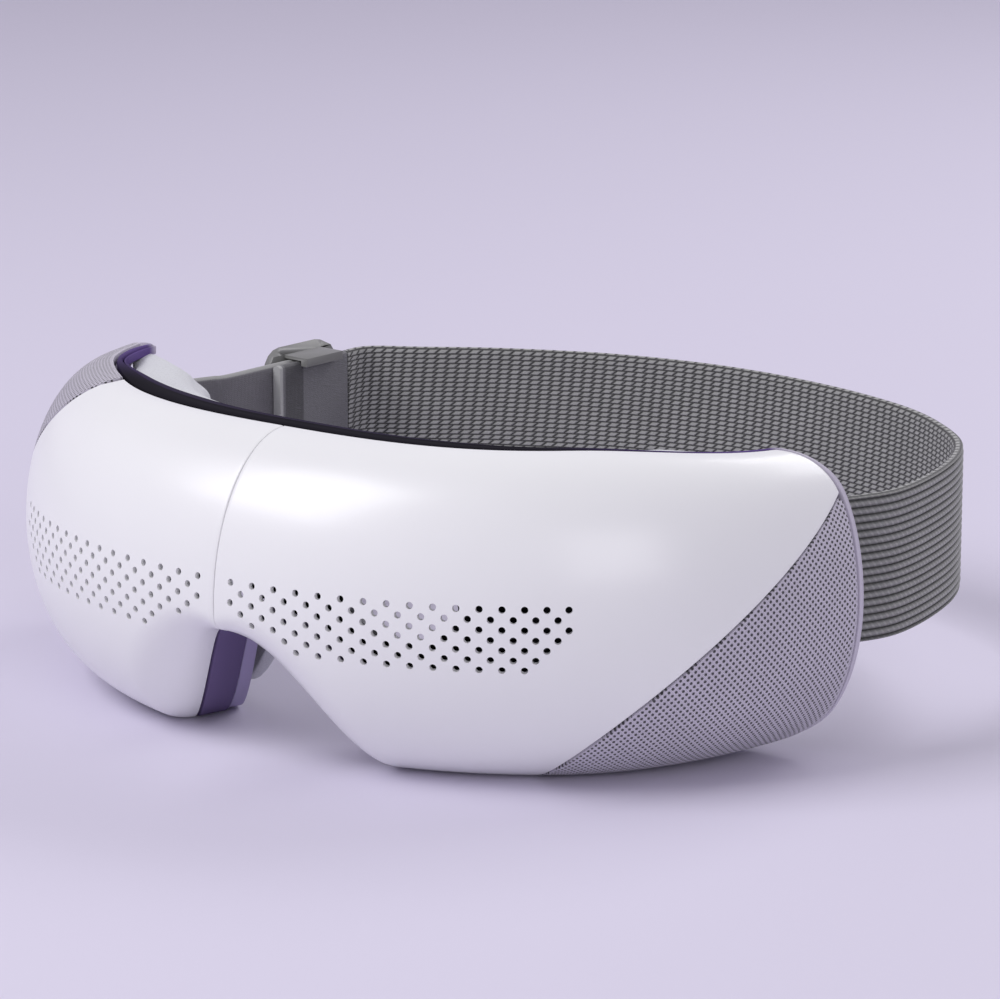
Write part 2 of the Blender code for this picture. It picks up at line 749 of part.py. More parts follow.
def eye_ring(angle):
    """Inner and outer outline of the pad round the eye, at one angle, in s and z."""
    centre_s = (CUSHION_START_S + CUSHION_END_S) / 2
    half_width = (CUSHION_END_S - CUSHION_START_S) / 2
    cos, sin = math.cos(angle), math.sin(angle)
    outer_s = centre_s + half_width * math.copysign(abs(cos) ** (2 / CUSHION_POWER), cos)
    outer_z = CUSHION_Z + CUSHION_HALF_HEIGHT * math.copysign(abs(sin) ** (2 / CUSHION_POWER), sin)
    outer_z = max(outer_z, notch_z(outer_s) + FRAME_WALL + BEZEL_WALL + 2 * GAP)
    low = inner_limits(outer_s, FRAME_WALL + BEZEL_WALL)[0]
    high = RIDGE_Z + section(outer_s)[1] - BEZEL_STEP - BEZEL_WALL - 2 * GAP
    outer_z = min(max(outer_z, low), high)
    inner = Vector((EYE_S + EYE_HALF_WIDTH * cos, EYE_Z + EYE_HALF_HEIGHT * sin))
    return inner, Vector((outer_s, outer_z))


def curved_slab(name, side, start, wall, look, columns=9):
    """Flat pack bent to the plate's curve, a depth behind the plate's back."""
    points = []
    for depth in (start, start + wall):
        for s in np.linspace(AIRBAG_START_S, AIRBAG_END_S, columns):
            for lift in (1, -1):
                z = RIDGE_Z + lift * AIRBAG_HALF_HEIGHT
                points.append(place(s, base_depth(s, z) + depth, z))
    half = 2 * columns
    faces = grid_faces(columns, 2)
    faces += [tuple(reversed(face)) for face in grid_faces(columns, 2, half)]
    for i in range(columns - 1):
        a, b = 2 * i, 2 * i + 2
        faces.append((a, b, b + half, a + half))
        faces.append((b + 1, a + 1, a + 1 + half, b + 1 + half))
    for a, b in ((1, 0), (half - 2, half - 1)):
        faces.append((a, b, b + half, a + half))
    return finish(mesh_object(name, points, faces, side), look, 60)


def base_depth(s, z):
    """Depth of the back of the mounting plate."""
    return plate_depth(s, z) + PLATE_WALL


def build_cushion(side, across_steps=7):
    """Crowned leather pad with drawn-in sides, a closed ring round the eye opening."""
    base = CUSHION_SETBACK - PLATE_SETBACK - PLATE_WALL
    points, faces = [], []
    for i in range(CUSHION_STEPS):
        angle = 2 * math.pi * i / CUSHION_STEPS
        inner, outer = eye_ring(angle)
        reach = (1 + math.cos(angle)) / 2
        crown = CUSHION_NOSE_CROWN + (CUSHION_TEMPLE_CROWN - CUSHION_NOSE_CROWN) * reach
        spread = 1 - 2 * CUSHION_FOOT_INSET
        loop = [(CUSHION_FOOT_INSET + spread * k / across_steps, 0.0) for k in range(across_steps, -1, -1)]
        for k in range(across_steps + 1):
            swell = 1 - abs(2 * k / across_steps - 1) ** CUSHION_SWELL_POWER
            loop.append((k / across_steps, CUSHION_SIDE_LIFT + (1 - CUSHION_SIDE_LIFT) * swell))
        for across, lift in loop:
            s, z = inner.lerp(outer, across)
            points.append(place(s, base_depth(s, z) + base + crown * lift, z))
        size = len(loop)
        for k in range(size):
            a, b = i * size + k, i * size + (k + 1) % size
            ahead = ((i + 1) % CUSHION_STEPS) * size
            faces.append((ahead + k, ahead + (k + 1) % size, b, a))
    return finish(mesh_object(f"face_cushion_{side_name(side)}", points, faces, side), "leather", 60)


def build_airbag(side):
    """Flat bladder on the back of the plate, with its port through the plate."""
    bag = curved_slab(f"airbag_{side_name(side)}", side, GAP, AIRBAG_WALL, "rubber")
    at, turn = seat(side, PORT_S, base_depth(PORT_S, PORT_Z) - PLATE_WALL / 2, PORT_Z)
    stub = cylinder(f"stub_{side_name(side)}", PORT_RADIUS, 3 * PLATE_WALL, at, turn, axis="Y")
    return boolean(bag, as_cutter(stub), "UNION")


def build_film(side):
    """Heating film between the bladder and the pad."""
    return curved_slab(f"heating_film_{side_name(side)}", side, 2 * GAP + AIRBAG_WALL, FILM_WALL, "film")


def spline(points, steps):
    """Smooth curve through plan points, with even steps along it."""
    pts = [Vector(p) for p in points]
    pts = [2 * pts[0] - pts[1]] + pts + [2 * pts[-1] - pts[-2]]
    fine = []
    for a, b, c, d in zip(pts, pts[1:], pts[2:], pts[3:]):
        for k in range(20):
            u = k / 20
            fine.append(0.5 * (2 * b + (c - a) * u + (2 * a - 5 * b + 4 * c - d) * u * u
                               + (3 * b - a - 3 * c + d) * u ** 3))
    fine.append(pts[-2])
    return [path_point(fine, i / steps) for i in range(steps + 1)]


def band_solid(name, line, look, wall=STRAP_WALL):
    """Upright band of the strap's height along a plan line, with rounded long edges."""
    low, high = STRAP_BOTTOM_Z, STRAP_BOTTOM_Z + STRAP_HEIGHT
    soft = wall * 0.35
    ring = ((-0.5, low + soft), (-0.5, high - soft), (-0.22, high), (0.22, high),
            (0.5, high - soft), (0.5, low + soft), (0.22, low), (-0.22, low))
    size = len(ring)
    points, faces = [], []
    for i, at in enumerate(line):
        ahead = line[min(i + 1, len(line) - 1)] - line[max(i - 1, 0)]
        ahead.normalize()
        across = Vector((ahead.y, -ahead.x))
        for offset, z in ring:
            spot = at + across * offset * wall
            points.append((spot.x, spot.y, z))
    for i in range(len(line) - 1):
        for k in range(size):
            a, b = i * size + k, i * size + (k + 1) % size
            faces.append((a, b, b + size, a + size))
    last = (len(line) - 1) * size
    faces.append(tuple(reversed(range(size))))
    faces.append(tuple(last + k for k in range(size)))
    return finish(mesh_object(name, points, faces), look)


def route_point(side, spot):
    """Plan point at an outset from the temple's edge and a way back from it."""
    return Vector((side * (ridge(END_S)[0] + spot[0]), TEMPLE_Y + spot[1]))


def run_ahead():
    """Way along the straight run of the strap, in plan."""
    return (route_point(-1, RUN_BACK) - route_point(-1, RUN_FRONT)).normalized()


def run_point(along, aside=0.0):
    """Plan point on the straight run of the strap, measured from its front end."""
    front, ahead = route_point(-1, RUN_FRONT), run_ahead()
    return front + ahead * along + Vector((ahead.y, -ahead.x)) * aside


def build_strap():
    run_length = (route_point(-1, RUN_BACK) - route_point(-1, RUN_FRONT)).length
    layer = STRAP_WALL + GAP
    start = (-STRAP_INSET, STRAP_START)
    route = [route_point(1, spot) for spot in (start, *RIGHT_ROUTE)]
    route += [route_point(-1, spot) for spot in LEFT_ROUTE]
    route += [run_point(run_length + RUN_LEAD), run_point(run_length)]
    band_solid("strap_mesh_band", spline(route, STRAP_STEPS), "mesh")
    tab_back = run_length - GAP
    tab_line = [run_point(tab_back - TAB_LENGTH * k / 4) for k in range(5)]
    band_solid("strap_end_tab", tab_line, "grey")
    side_route = [route_point(-1, spot) for spot in (start, *SIDE_ROUTE)]
    side_route += [run_point(LEFT_BAND_LENGTH * k / 4, -layer) for k in range(1, 5)]
    band_solid("strap_side_band", spline(side_route, 24), "band")
    build_slider(run_point(SLIDER_AT, -layer / 2))
    for side in (1, -1):
        build_anchor(side)


def build_slider(centre):
    """Clip whose tall rounded plate lies outside the strap, with a lip over each long edge."""
    ahead = run_ahead()
    turn = math.atan2(ahead.y, ahead.x) - math.pi / 2
    middle_z = STRAP_BOTTOM_Z + STRAP_HEIGHT / 2
    at = Vector((centre.x, centre.y, middle_z))
    inside = 2 * STRAP_WALL + 3 * GAP
    across = Vector((math.cos(turn), math.sin(turn), 0.0))
    plate_size = (SLIDER_WALL, SLIDER_LENGTH, SLIDER_HEIGHT)
    slider = box("strap_slider", plate_size, at - across * (inside + SLIDER_WALL) / 2, turn)
    corner = slider.modifiers.new("corner", "BEVEL")
    corner.limit_method = "WEIGHT"
    corner.width = SLIDER_CORNER * MM
    corner.segments = 4
    weights = slider.data.attributes.new("bevel_weight_edge", "FLOAT", "EDGE")
    for edge in slider.data.edges:
        first, second = (slider.data.vertices[i].co for i in edge.vertices)
        weights.data[edge.index].value = float(abs(first.x - second.x) > 0.5 * SLIDER_WALL * MM)
    rail_height = STRAP_HEIGHT + 2 * GAP + 2 * SLIDER_WALL
    rail_length = SLIDER_LENGTH - 2 * SLIDER_CORNER
    rail_size = (inside + 1.5 * SLIDER_WALL, rail_length, rail_height)
    rail = box("slider_rail", rail_size, at + across * 0.25 * SLIDER_WALL, turn)
    slot_height = STRAP_HEIGHT + 2 * GAP
    slot = box("slider_slot", (inside, SLIDER_LENGTH, slot_height), at, turn)
    mouth_size = (inside, SLIDER_LENGTH, slot_height - 2 * SLIDER_LIP)
    mouth = box("slider_mouth", mouth_size, at + across * inside / 2, turn)
    boolean(slider, as_cutter(rail), "UNION")
    boolean(slider, as_cutter(slot))
    boolean(slider, as_cutter(mouth))
    return finish(slider, "grey")


def build_anchor(side):
    """Moulded grip in the temple that holds the end of the strap."""
    x, y = route_point(1, (-STRAP_INSET, STRAP_START))
    middle_z = STRAP_BOTTOM_Z + STRAP_HEIGHT / 2
    slot_width = STRAP_WALL + 2 * GAP
    back_y = y + ANCHOR_GRIP - ANCHOR_LENGTH / 2
    name = side_name(side)
    anchor = box(f"strap_anchor_{name}", (slot_width + 2 * ANCHOR_WALL, ANCHOR_LENGTH, ANCHOR_HEIGHT),
                 (side * x, back_y, middle_z), 0.0, 0.6)
    slot = box(f"anchor_slot_{name}", (slot_width, ANCHOR_LENGTH, 2 * ANCHOR_HEIGHT),
               (side * x, y - GAP + ANCHOR_LENGTH / 2, middle_z))
    boolean(anchor, as_cutter(slot))
    finish(anchor, "plate")


def build_works():
    """Battery, board, pump, valve, motors, tubes and fasteners behind the shells."""
    at, turn = seat(1, BATTERY_S, plate_depth(BATTERY_S, RIDGE_Z) - GAP - BATTERY_SIZE[1] / 2, RIDGE_Z)
    finish(box("battery", BATTERY_SIZE, at, turn, 1.5), "cell")
    board_t = plate_depth(BOARD_S, RIDGE_Z) - GAP - BOARD_SIZE[1] / 2
    at, turn = seat(-1, BOARD_S, board_t, BOARD_Z)
    board = box("main_board", BOARD_SIZE, at, turn)
    chip_t = board_t - (BOARD_SIZE[1] + CHIP_SIZE[1]) / 2 + CHIP_SINK
    at, turn = seat(-1, BOARD_S, chip_t, BOARD_Z)
    boolean(board, as_cutter(box("chip", CHIP_SIZE, at, turn)), "UNION")
    finish(board, "board")
    build_pump()
    for side in (1, -1):
        build_vibration(side)
        for number, (s, z) in enumerate(screw_places()):
            build_screw(side, number, s, z)
        build_tube(side)
    at, turn = seat(1, PUMP_S, plate_depth(PUMP_S, PUMP_Z) - GAP - VALVE_RADIUS, PUMP_Z)
    finish(cylinder("release_valve", VALVE_RADIUS, VALVE_LENGTH, at, turn, axis="X"), "steel")
    depth = tee_depth()
    finish(box("air_tee", TEE_SIZE, place(0.0, depth, TEE_Z), 0.0, 0.8), "rubber")


def tee_depth():
    return plate_depth(0.0, TEE_Z - TEE_SIZE[2] / 2) - GAP - TEE_SIZE[1] / 2


def build_pump():
    depth = plate_depth(PUMP_S, PUMP_Z) - GAP - PUMP_HEAD_SIZE[1] / 2
    at, turn = seat(-1, PUMP_S, depth, PUMP_Z)
    finish(box("pump_head", PUMP_HEAD_SIZE, at, turn, 1.0), "plate")
    along = Vector((math.cos(turn), math.sin(turn), 0.0))
    reach = (PUMP_HEAD_SIZE[0] + PUMP_MOTOR_LENGTH) / 2 + GAP
    motor_at = at - along * reach
    finish(cylinder("pump_motor", PUMP_MOTOR_RADIUS, PUMP_MOTOR_LENGTH, motor_at, turn, axis="X"), "steel")


def build_vibration(side):
    """Vibration motor with its eccentric weight on the shaft."""
    name = side_name(side)
    depth = plate_depth(MOTOR_S, MOTOR_Z) - GAP - MOTOR_RADIUS
    at, turn = seat(side, MOTOR_S, depth, MOTOR_Z)
    motor = cylinder(f"vibration_motor_{name}", MOTOR_RADIUS, MOTOR_LENGTH, at, turn, axis="X")
    along = Vector((math.cos(turn), math.sin(turn), 0.0))
    shaft_reach = MOTOR_LENGTH / 2 + WEIGHT_LENGTH / 2 + GAP
    shaft = cylinder(f"shaft_{name}", MOTOR_SHAFT_RADIUS, WEIGHT_LENGTH + 2 * GAP + SHAFT_ROOT,
                     at + along * shaft_reach, turn, axis="X", sides=10)
    boolean(motor, as_cutter(shaft), "UNION")
    finish(motor, "steel")
    weight = cylinder(f"eccentric_weight_{name}", WEIGHT_RADIUS, WEIGHT_LENGTH,
                      at + along * shaft_reach, turn, axis="X", sides=16)
    upper = box(f"weight_cut_{name}", (WEIGHT_LENGTH * 2, WEIGHT_RADIUS * 3, WEIGHT_RADIUS * 2),
                at + along * shaft_reach + Vector((0.0, 0.0, WEIGHT_RADIUS + WEIGHT_TOP)), turn)
    bore = cylinder(f"weight_bore_{name}", MOTOR_SHAFT_RADIUS + SHAFT_CLEARANCE, WEIGHT_LENGTH * 2,
                    at + along * shaft_reach, turn, axis="X", sides=10)
    boolean(weight, as_cutter(upper))
    boolean(weight, as_cutter(bore))
    finish(weight, "steel")


def screw_places():
    """Screws in s and z, each a drop below the top rim."""
    return [(s, RIDGE_Z + section(s)[1] - drop) for s, drop in SCREW_PLACES]


def build_screw(side, number, s, z):
    """Pan-head screw through the mounting plate, driven from the wearer's side."""
    head_t = base_depth(s, z) + GAP + SCREW_HEAD_LENGTH / 2
    at, turn = seat(side, s, head_t, z)
    name = f"plate_screw_{side_name(side)}_{number + 1}"
    screw = cylinder(name, SCREW_HEAD_RADIUS, SCREW_HEAD_LENGTH, at, turn, axis="Y", sides=12)
    shank_t = head_t - SCREW_LENGTH / 2
    at, turn = seat(side, s, shank_t, z)
    shank = cylinder(f"shank_{name}", SCREW_SHANK_RADIUS, SCREW_LENGTH, at, turn, axis="Y", sides=10)
    boolean(screw, as_cutter(shank), "UNION")
    finish(screw, "steel")


def build_tube(side):
    """Air tube from the tee to the bladder's port."""
    start = place(0.0, tee_depth(), TEE_Z)
    start.x = TEE_SIZE[0] / 2 + 2 * GAP
    end = place(PORT_S, plate_depth(PORT_S, PORT_Z) - PLATE_WALL - 2 * GAP - TUBE_RADIUS, PORT_Z)
    way = [start, start + Vector((TUBE_RADIUS, 0.0, 0.0))]
    for share in (0.35, 0.7):
        s, z = PORT_S * share, TEE_Z + (PORT_Z - TEE_Z) * share
        way.append(place(s, plate_depth(s, z) - 2 * GAP - TUBE_RADIUS, z))
    way.append(end)
    curve = bpy.data.curves.new(f"air_tube_{side_name(side)}", "CURVE")
    curve.dimensions = "3D"
    curve.bevel_depth = TUBE_RADIUS * MM
    curve.bevel_resolution = 2
    curve.use_fill_caps = True
    route = spline([tuple(p) for p in way], 12)
    line = curve.splines.new("POLY")
    line.points.add(len(route) - 1)
    for point, spot in zip(line.points, route):
        point.co = (side * spot.x * MM, spot.y * MM, spot.z * MM, 1.0)
    item = bpy.data.objects.new(curve.name, curve)
    PARTS.objects.link(item)
    return coat(item, "rubber")


def build_controls():
    """Power button with its switch on the left, charging socket on the right, both underneath."""
    at, turn = underside(-1, BUTTON_HEIGHT / 2 - BUTTON_PROUD)
    finish(box("power_button", (*BUTTON_SIZE, BUTTON_HEIGHT), at, turn, 0.5), "grey")
    top = BUTTON_HEIGHT - BUTTON_PROUD + BUTTON_TRAVEL + GAP
    at, turn = underside(-1, top + SWITCH_SIZE[2] / 2)
    finish(box("power_switch", SWITCH_SIZE, at, turn, 0.3), "plate")
    at, turn = underside(1, SOCKET_SIZE[2] / 2)
    socket = box("charge_socket", SOCKET_SIZE, at, turn, 0.4)
    at, turn = underside(1, SOCKET_SIZE[2] / 2 - SOCKET_WALL)
    mouth = box("socket_mouth", [SOCKET_SIZE[0] - 2 * SOCKET_WALL, SOCKET_SIZE[1] - 2 * SOCKET_WALL,
                                 SOCKET_SIZE[2]], at, turn)
    boolean(socket, as_cutter(mouth))
    finish(socket, "steel")


def main():
    for side in (1, -1):
        build_shell(side)
        build_temple_cover(side)
        build_cushion(side)
        build_airbag(side)
        build_film(side)
    build_frame()
    build_bezel()
    build_plate()
    build_strap()
    build_works()
    build_controls()


main()
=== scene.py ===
"""Looks of an eye massager mask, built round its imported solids.

The pieces that follow the face are laid out in three mask coordinates, in millimetres:
s runs along the front ridge from the seam, t runs inwards from the ridge, z is the height.
"""

import math
from functools import lru_cache

import bpy
import numpy as np
from bpy.props import FloatProperty, FloatVectorProperty, IntProperty, PointerProperty
from mathutils import Matrix, Vector


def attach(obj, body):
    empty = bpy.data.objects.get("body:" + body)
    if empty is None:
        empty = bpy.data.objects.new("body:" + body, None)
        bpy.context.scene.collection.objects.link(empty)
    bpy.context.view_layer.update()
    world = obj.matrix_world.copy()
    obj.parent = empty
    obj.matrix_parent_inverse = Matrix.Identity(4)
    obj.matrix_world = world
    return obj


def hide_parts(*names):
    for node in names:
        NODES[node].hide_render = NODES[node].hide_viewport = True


bl_info = {
    "name": "Eye massager mask looks",
    "version": (1, 0, 0),
    "blender": (4, 5, 0),
    "location": "3D View > Sidebar > Mask",
    "description": "Builds the shells, cushions, strap and stage round the packed mask",
    "category": "Object",
}

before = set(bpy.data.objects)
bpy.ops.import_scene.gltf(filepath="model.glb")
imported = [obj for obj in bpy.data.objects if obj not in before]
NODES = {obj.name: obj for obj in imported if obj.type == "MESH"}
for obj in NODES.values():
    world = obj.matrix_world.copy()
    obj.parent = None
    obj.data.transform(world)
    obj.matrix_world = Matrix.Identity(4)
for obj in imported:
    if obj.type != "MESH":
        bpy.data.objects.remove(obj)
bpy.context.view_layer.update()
MM = 0.001
SIDES = {1: "right", -1: "left"}

# Plan of the front ridge and section of the shell
RIDGE_HALF_WIDTH, RIDGE_DEPTH, RIDGE_POWER = 102.27, 94.06, 2.12
FRONT_Y, TEMPLE_Y = -88.45, -8.5
RIDGE_Z = 33.7
SECTION_DEPTH, TEMPLE_SECTION_DEPTH = 23.0, 20.4
TOP_RISE, TEMPLE_TOP_RISE = 33.5, 30.3
BROW_LENGTH, BROW_DEPTH_LOSS, TEMPLE_DEPTH_LOSS = 65.0, 3.0, 3.8
BOTTOM_DROP, TEMPLE_BOTTOM_DROP = 33.7, 31.5
TEMPLE_EXTRA_DROP = 5.5  # how far the temple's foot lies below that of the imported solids
TOP_CORNER, BOTTOM_CORNER, CORNER_POWER = 8.0, 14.0, 1.7
FALL_START = 0.55
SHELL_WALL, SHELL_SKIN = 2.0, 1.2
SHELL_GRID, COVER_GRID = (130, 64), (110, 40)
SNAP = 0.01

# Nose arch, and the line between shell and temple cover
NOTCH_HEIGHT, NOTCH_HALF_WIDTH = 28.4, 35.4
NOTCH_ROLL_TOP, NOTCH_ROLL_SIDE = 3.5, 9.8
TIP_Z, COVER_LINE_FOOT_S, COVER_LINE_BOW = 56.0, 70.0, 2.8
COVER_END_SHARE, COVER_GAP, SEAM_S = 0.015, 0.3, 0.07

# Knit of the temple covers: arc along the section by its angle, and the plain hem by the share across
KNIT_ARC, KNIT_ARC_SWING = 26.0, 2.5
KNIT_HEM_START, KNIT_HEM_FADE = 0.955, 0.03

# Front holes
HOLE_COLUMNS, HOLE_ROWS = 31, 7
HOLE_FIRST_S, HOLE_COLUMN_PITCH, HOLE_PITCH_LOSS = 4.3, 2.65, 0.0085
HOLE_TOP_Z, HOLE_ROW_PITCH = 39.9, 2.05
SHORT_COLUMNS = {1: 3, 2: 4, 3: 5, 4: 4, 5: 5, 29: 5, 30: 4, 31: 3}

# Rear frame, bezel and plate
FRAME_BAND, FRAME_TEMPLE_BAND = 7.0, 1.0
FRAME_NOTCH_BAND, FRAME_WALL = 9.4, 2.2
BEZEL_BAND, BEZEL_TEMPLE_BAND, BEZEL_WALL, BEZEL_STEP = 3.8, 0.5, 1.8, 0.4
RIM_CORNER, RIM_SLOPE = 12.0, 0.12
RIM_ROUNDING, RIM_ROUNDING_SHARE, RIM_NIP = 0.4, 0.35, 0.3
CORNER_SWING, REAR_SWING_FROM, REAR_SWING_REACH = 45.0, 55.0, 35.0  # degrees
TOP_BAND_FADE, BOTTOM_BAND_FADE = (40.0, 110.0), (112.0, 142.0)
PLATE_SETBACK, PLATE_BRIDGE_RELIEF = 4.9, 13.0
PLATE_BRIDGE_HALF_WIDTH, PLATE_BRIDGE_TOP_Z, PLATE_BRIDGE_FADE = 22.0, 60.0, 32.0
PLATE_WRAP_LENGTH, PLATE_END_DEPTH, PLATE_TRIM_S = 20.0, 13.5, 68.0
GAP, RIM_GAP = 0.3, 0.7

# Face cushions
EYE_S, EYE_Z, EYE_HALF_WIDTH, EYE_HALF_HEIGHT = 31.0, 32.0, 17.0, 13.0
CUSHION_START_S, CUSHION_END_S = 8.0, 140.5
CUSHION_Z, CUSHION_HALF_HEIGHT, CUSHION_TOP_REACH, CUSHION_POWER = 34.0, 28.5, 30.0, 11.0
CUSHION_NOSE_CROWN, CUSHION_TEMPLE_CROWN, CUSHION_SETBACK = 5.0, 6.0, 11.6
CUSHION_SKIRT, CUSHION_SKIRT_S, CUSHION_SKIRT_Z = 5.2, 112.0, 56.5
CUSHION_SKIRT_FADE_S, CUSHION_SKIRT_FADE_Z = 12.0, 3.0
CUSHION_FOOT_INSET, CUSHION_SIDE_LIFT, CUSHION_SWELL_POWER = 0.04, 0.5, 3.5
CUSHION_SEAM_AT, CUSHION_SEAM_SPREAD, CUSHION_COLUMNS = 0.14, 0.022, 150

# Head strap; its route is given as the outset from the temple's edge and the way back from it
STRAP_HEIGHT, STRAP_BOTTOM_Z, STRAP_WALL = 31.0, 22.0, 2.2
STRAP_EDGE, BAND_EDGE, BAND_HEM, RIB_POWER = 0.9, 0.8, 0.75, 0.7
STRAP_STEPS, SIDE_BAND_STEPS, TAB_STEPS = 320, 140, 60
EDGE_ANGLES = np.radians((30, 60, 90, 120, 150))
RIGHT_ROUTE = (
    (-12.77, -13.5), (-12.77, -4.5), (-9.87, 6.5), (-4.27, 21.5), (-7.27, 44.5), (-14.87, 62.5),
    (-26.87, 75.1), (-43.47, 85.5), (-68.47, 93.1), (-95.87, 95.7),
)
LEFT_ROUTE = ((-79.47, 91.5), (-54.47, 81.1), (-37.47, 70.5), (-29.07, 65.5))
SIDE_ROUTE = ((-12.77, -13.5), (-12.77, -4.5), (-12.87, 2.5), (-16.07, 10.0), (-19.27, 17.5))
RUN_FRONT, RUN_BACK, RUN_LEAD = (-22.47, 9.0), (-26.07, 57.0), 5.0
TAB_LENGTH, LEFT_BAND_LENGTH = 22.5, 46.0
TAB_HEM_START, TAB_STRIP = 0.955, (0.66, 0.92)
SLIDER_AT, SLIDER_LIP, SLIDER_INNER_REACH = 38.0, 0.7, 2.0

# Weave of the mesh strap: twist of its cords along and across, and the bricks of its inside
CORD_TWIST = (4.2, 2.4)
BRICK_LENGTH, BRICK_HEIGHT, BRICK_SHIFT, BRICK_SLANT = 2.5, 1.12, 0.05, 0.55

# Holes in the underside of the frame
UNDERSIDE_S = 112.0
BUTTON_SIZE, SOCKET_SIZE = (8.4, 3.2), (9.0, 3.2)

# Where the rims change colour: painted violet reflections across and up in the arch and back along the
# temple, and the knit's colour at the rear
ARCH_REFLECTION_X, ARCH_REFLECTION_Z = (36.0 * MM, 26.0 * MM), (40.0 * MM, 32.0 * MM)
TEMPLE_REFLECTION_Y, REAR_TINT_Y = (-52.0 * MM, -16.0 * MM), (-13.5 * MM, -9.5 * MM)
# Colours of the painted violet reflections that the polished frame and bezel show in the arch and at the
# temple
FRAME_ARCH_REFLECTION, BEZEL_ARCH_REFLECTION = (0.15, 0.115, 0.23), (0.42, 0.37, 0.56)
TEMPLE_REFLECTION = (0.13, 0.085, 0.26)

# Finishes shared by several pieces
WORKS_DARK, STEEL = (0.012, 0.012, 0.013), (0.60, 0.60, 0.62)
CLOUD_SCALE, POLISH_SCALE = 35.0, 120.0

# Stage: lamps by name, place, aim, size and share of the key light's power, and the photograph's camera
FLOOR_SIZE = 6.0
WORLD_COLOUR, WORLD_STRENGTH = (0.80, 0.78, 0.86, 1.0), 0.45
LAMPS = (
    ("key", (-0.55, -0.75, 0.95), (0.0, -0.02, 0.03), (0.7, 0.7), 1.0),
    ("fill", (1.1, -0.7, 0.55), (0.0, 0.0, 0.03), (0.6, 0.6), 0.35),
    ("rim", (0.2, 0.9, 0.8), (0.0, 0.0, 0.03), (0.8, 0.4), 0.5),
)
CAMERA_AT = (579.57, -770.05, 280.95)
CAMERA_AIM = (-0.57957, 0.77755, -0.24395)
CAMERA_LENS, CAMERA_SENSOR, CAMERA_CLIP = 166.86, 36.0, (0.05, 20.0)


class MaskSizes(bpy.types.PropertyGroup):
    """Sizes of the details that the looks add."""

    hole_diameter: FloatProperty(
        name="Hole diameter", description="Width of the front holes",
        default=1.45 * MM, unit="LENGTH")
    edge_radius: FloatProperty(
        name="Edge radius", description="Rounding of the moulded edges",
        default=0.35 * MM, unit="LENGTH")
    rib_count: IntProperty(
        name="Strap ribs", description="Lengthwise ribs on the outside of the strap", default=18)
    rib_depth: FloatProperty(
        name="Rib depth", description="Depth of the grooves between the strap ribs",
        default=0.6 * MM, unit="LENGTH")
    knit_pitch: FloatProperty(
        name="Knit pitch", description="Distance between the pinholes of the knit",
        default=1.5 * MM, unit="LENGTH")
    seam_depth: FloatProperty(
        name="Seam depth", description="Depth of the sewn line round each cushion",
        default=0.7 * MM, unit="LENGTH")


class MaskColours(bpy.types.PropertyGroup):
    """Colours of the finishes."""

    white: FloatVectorProperty(
        name="Shell white", description="Satin front shells", subtype="COLOR",
        default=(0.86, 0.86, 0.87))
    black: FloatVectorProperty(
        name="Frame black", description="Polished rear frame", subtype="COLOR",
        default=(0.010, 0.009, 0.013))
    bezel: FloatVectorProperty(
        name="Bezel", description="Dark bezel behind the frame", subtype="COLOR",
        default=(0.030, 0.024, 0.046))
    leather: FloatVectorProperty(
        name="Cushion grey", description="Leather of the face cushions", subtype="COLOR",
        default=(0.66, 0.67, 0.70))
    knit: FloatVectorProperty(
        name="Knit", description="Yarn of the temple covers", subtype="COLOR",
        default=(0.58, 0.545, 0.64))
    webbing: FloatVectorProperty(
        name="Strap grey", description="Yarn of the mesh strap", subtype="COLOR",
        default=(0.36, 0.36, 0.355))
    band: FloatVectorProperty(
        name="Band grey", description="Dark side band", subtype="COLOR",
        default=(0.135, 0.130, 0.145))


class MaskStage(bpy.types.PropertyGroup):
    """Floor and light."""

    floor: FloatVectorProperty(
        name="Floor", description="Pale floor and backdrop", subtype="COLOR",
        default=(0.70, 0.66, 0.80))
    key_power: FloatProperty(
        name="Key light", description="Power of the large lamp", default=9.0, unit="POWER")


def sizes():
    return bpy.context.scene.mask_sizes


def colours():
    return bpy.context.scene.mask_colours


def smooth_step(value):
    value = min(max(value, 0.0), 1.0)
    return value * value * (3.0 - 2.0 * value)


def ridge_table(samples=3000):
    """Arc length, x and y along the front ridge."""
    angle = np.linspace(0.0, math.pi / 2, samples)
    x = RIDGE_HALF_WIDTH * np.sin(angle) ** (2 / RIDGE_POWER)
    y = FRONT_Y + RIDGE_DEPTH * (1 - np.cos(angle) ** (2 / RIDGE_POWER))
    step = np.hypot(np.diff(x), np.diff(y))
    return np.concatenate(([0.0], np.cumsum(step))), x, y


RIDGE_S, RIDGE_X, RIDGE_Y = ridge_table()
END_S = float(np.interp(TEMPLE_Y, RIDGE_Y, RIDGE_S))


@lru_cache(maxsize=100000)
def ridge(s):
    """Point and outward normal of the ridge, in plan."""
    reach = 0.3
    low, high = max(s - reach, 0.0), s + reach
    x, y = np.interp(s, RIDGE_S, RIDGE_X), np.interp(s, RIDGE_S, RIDGE_Y)
    dx = np.interp(high, RIDGE_S, RIDGE_X) - np.interp(low, RIDGE_S, RIDGE_X)
    dy = np.interp(high, RIDGE_S, RIDGE_Y) - np.interp(low, RIDGE_S, RIDGE_Y)
    if s <= reach:
        dy = 0.0
    length = math.hypot(dx, dy)
    return float(x), float(y), float(dy / length), float(-dx / length)


def place(s, t, z):
    """Point of the right half at mask coordinates."""
    x, y, nx, ny = ridge(float(s))
    return Vector((x - nx * t, y - ny * t, z))


def temple_fall(s):
    """Share of the change of the section towards the temple."""
    return smooth_step((s / END_S - FALL_START) / (1 - FALL_START))


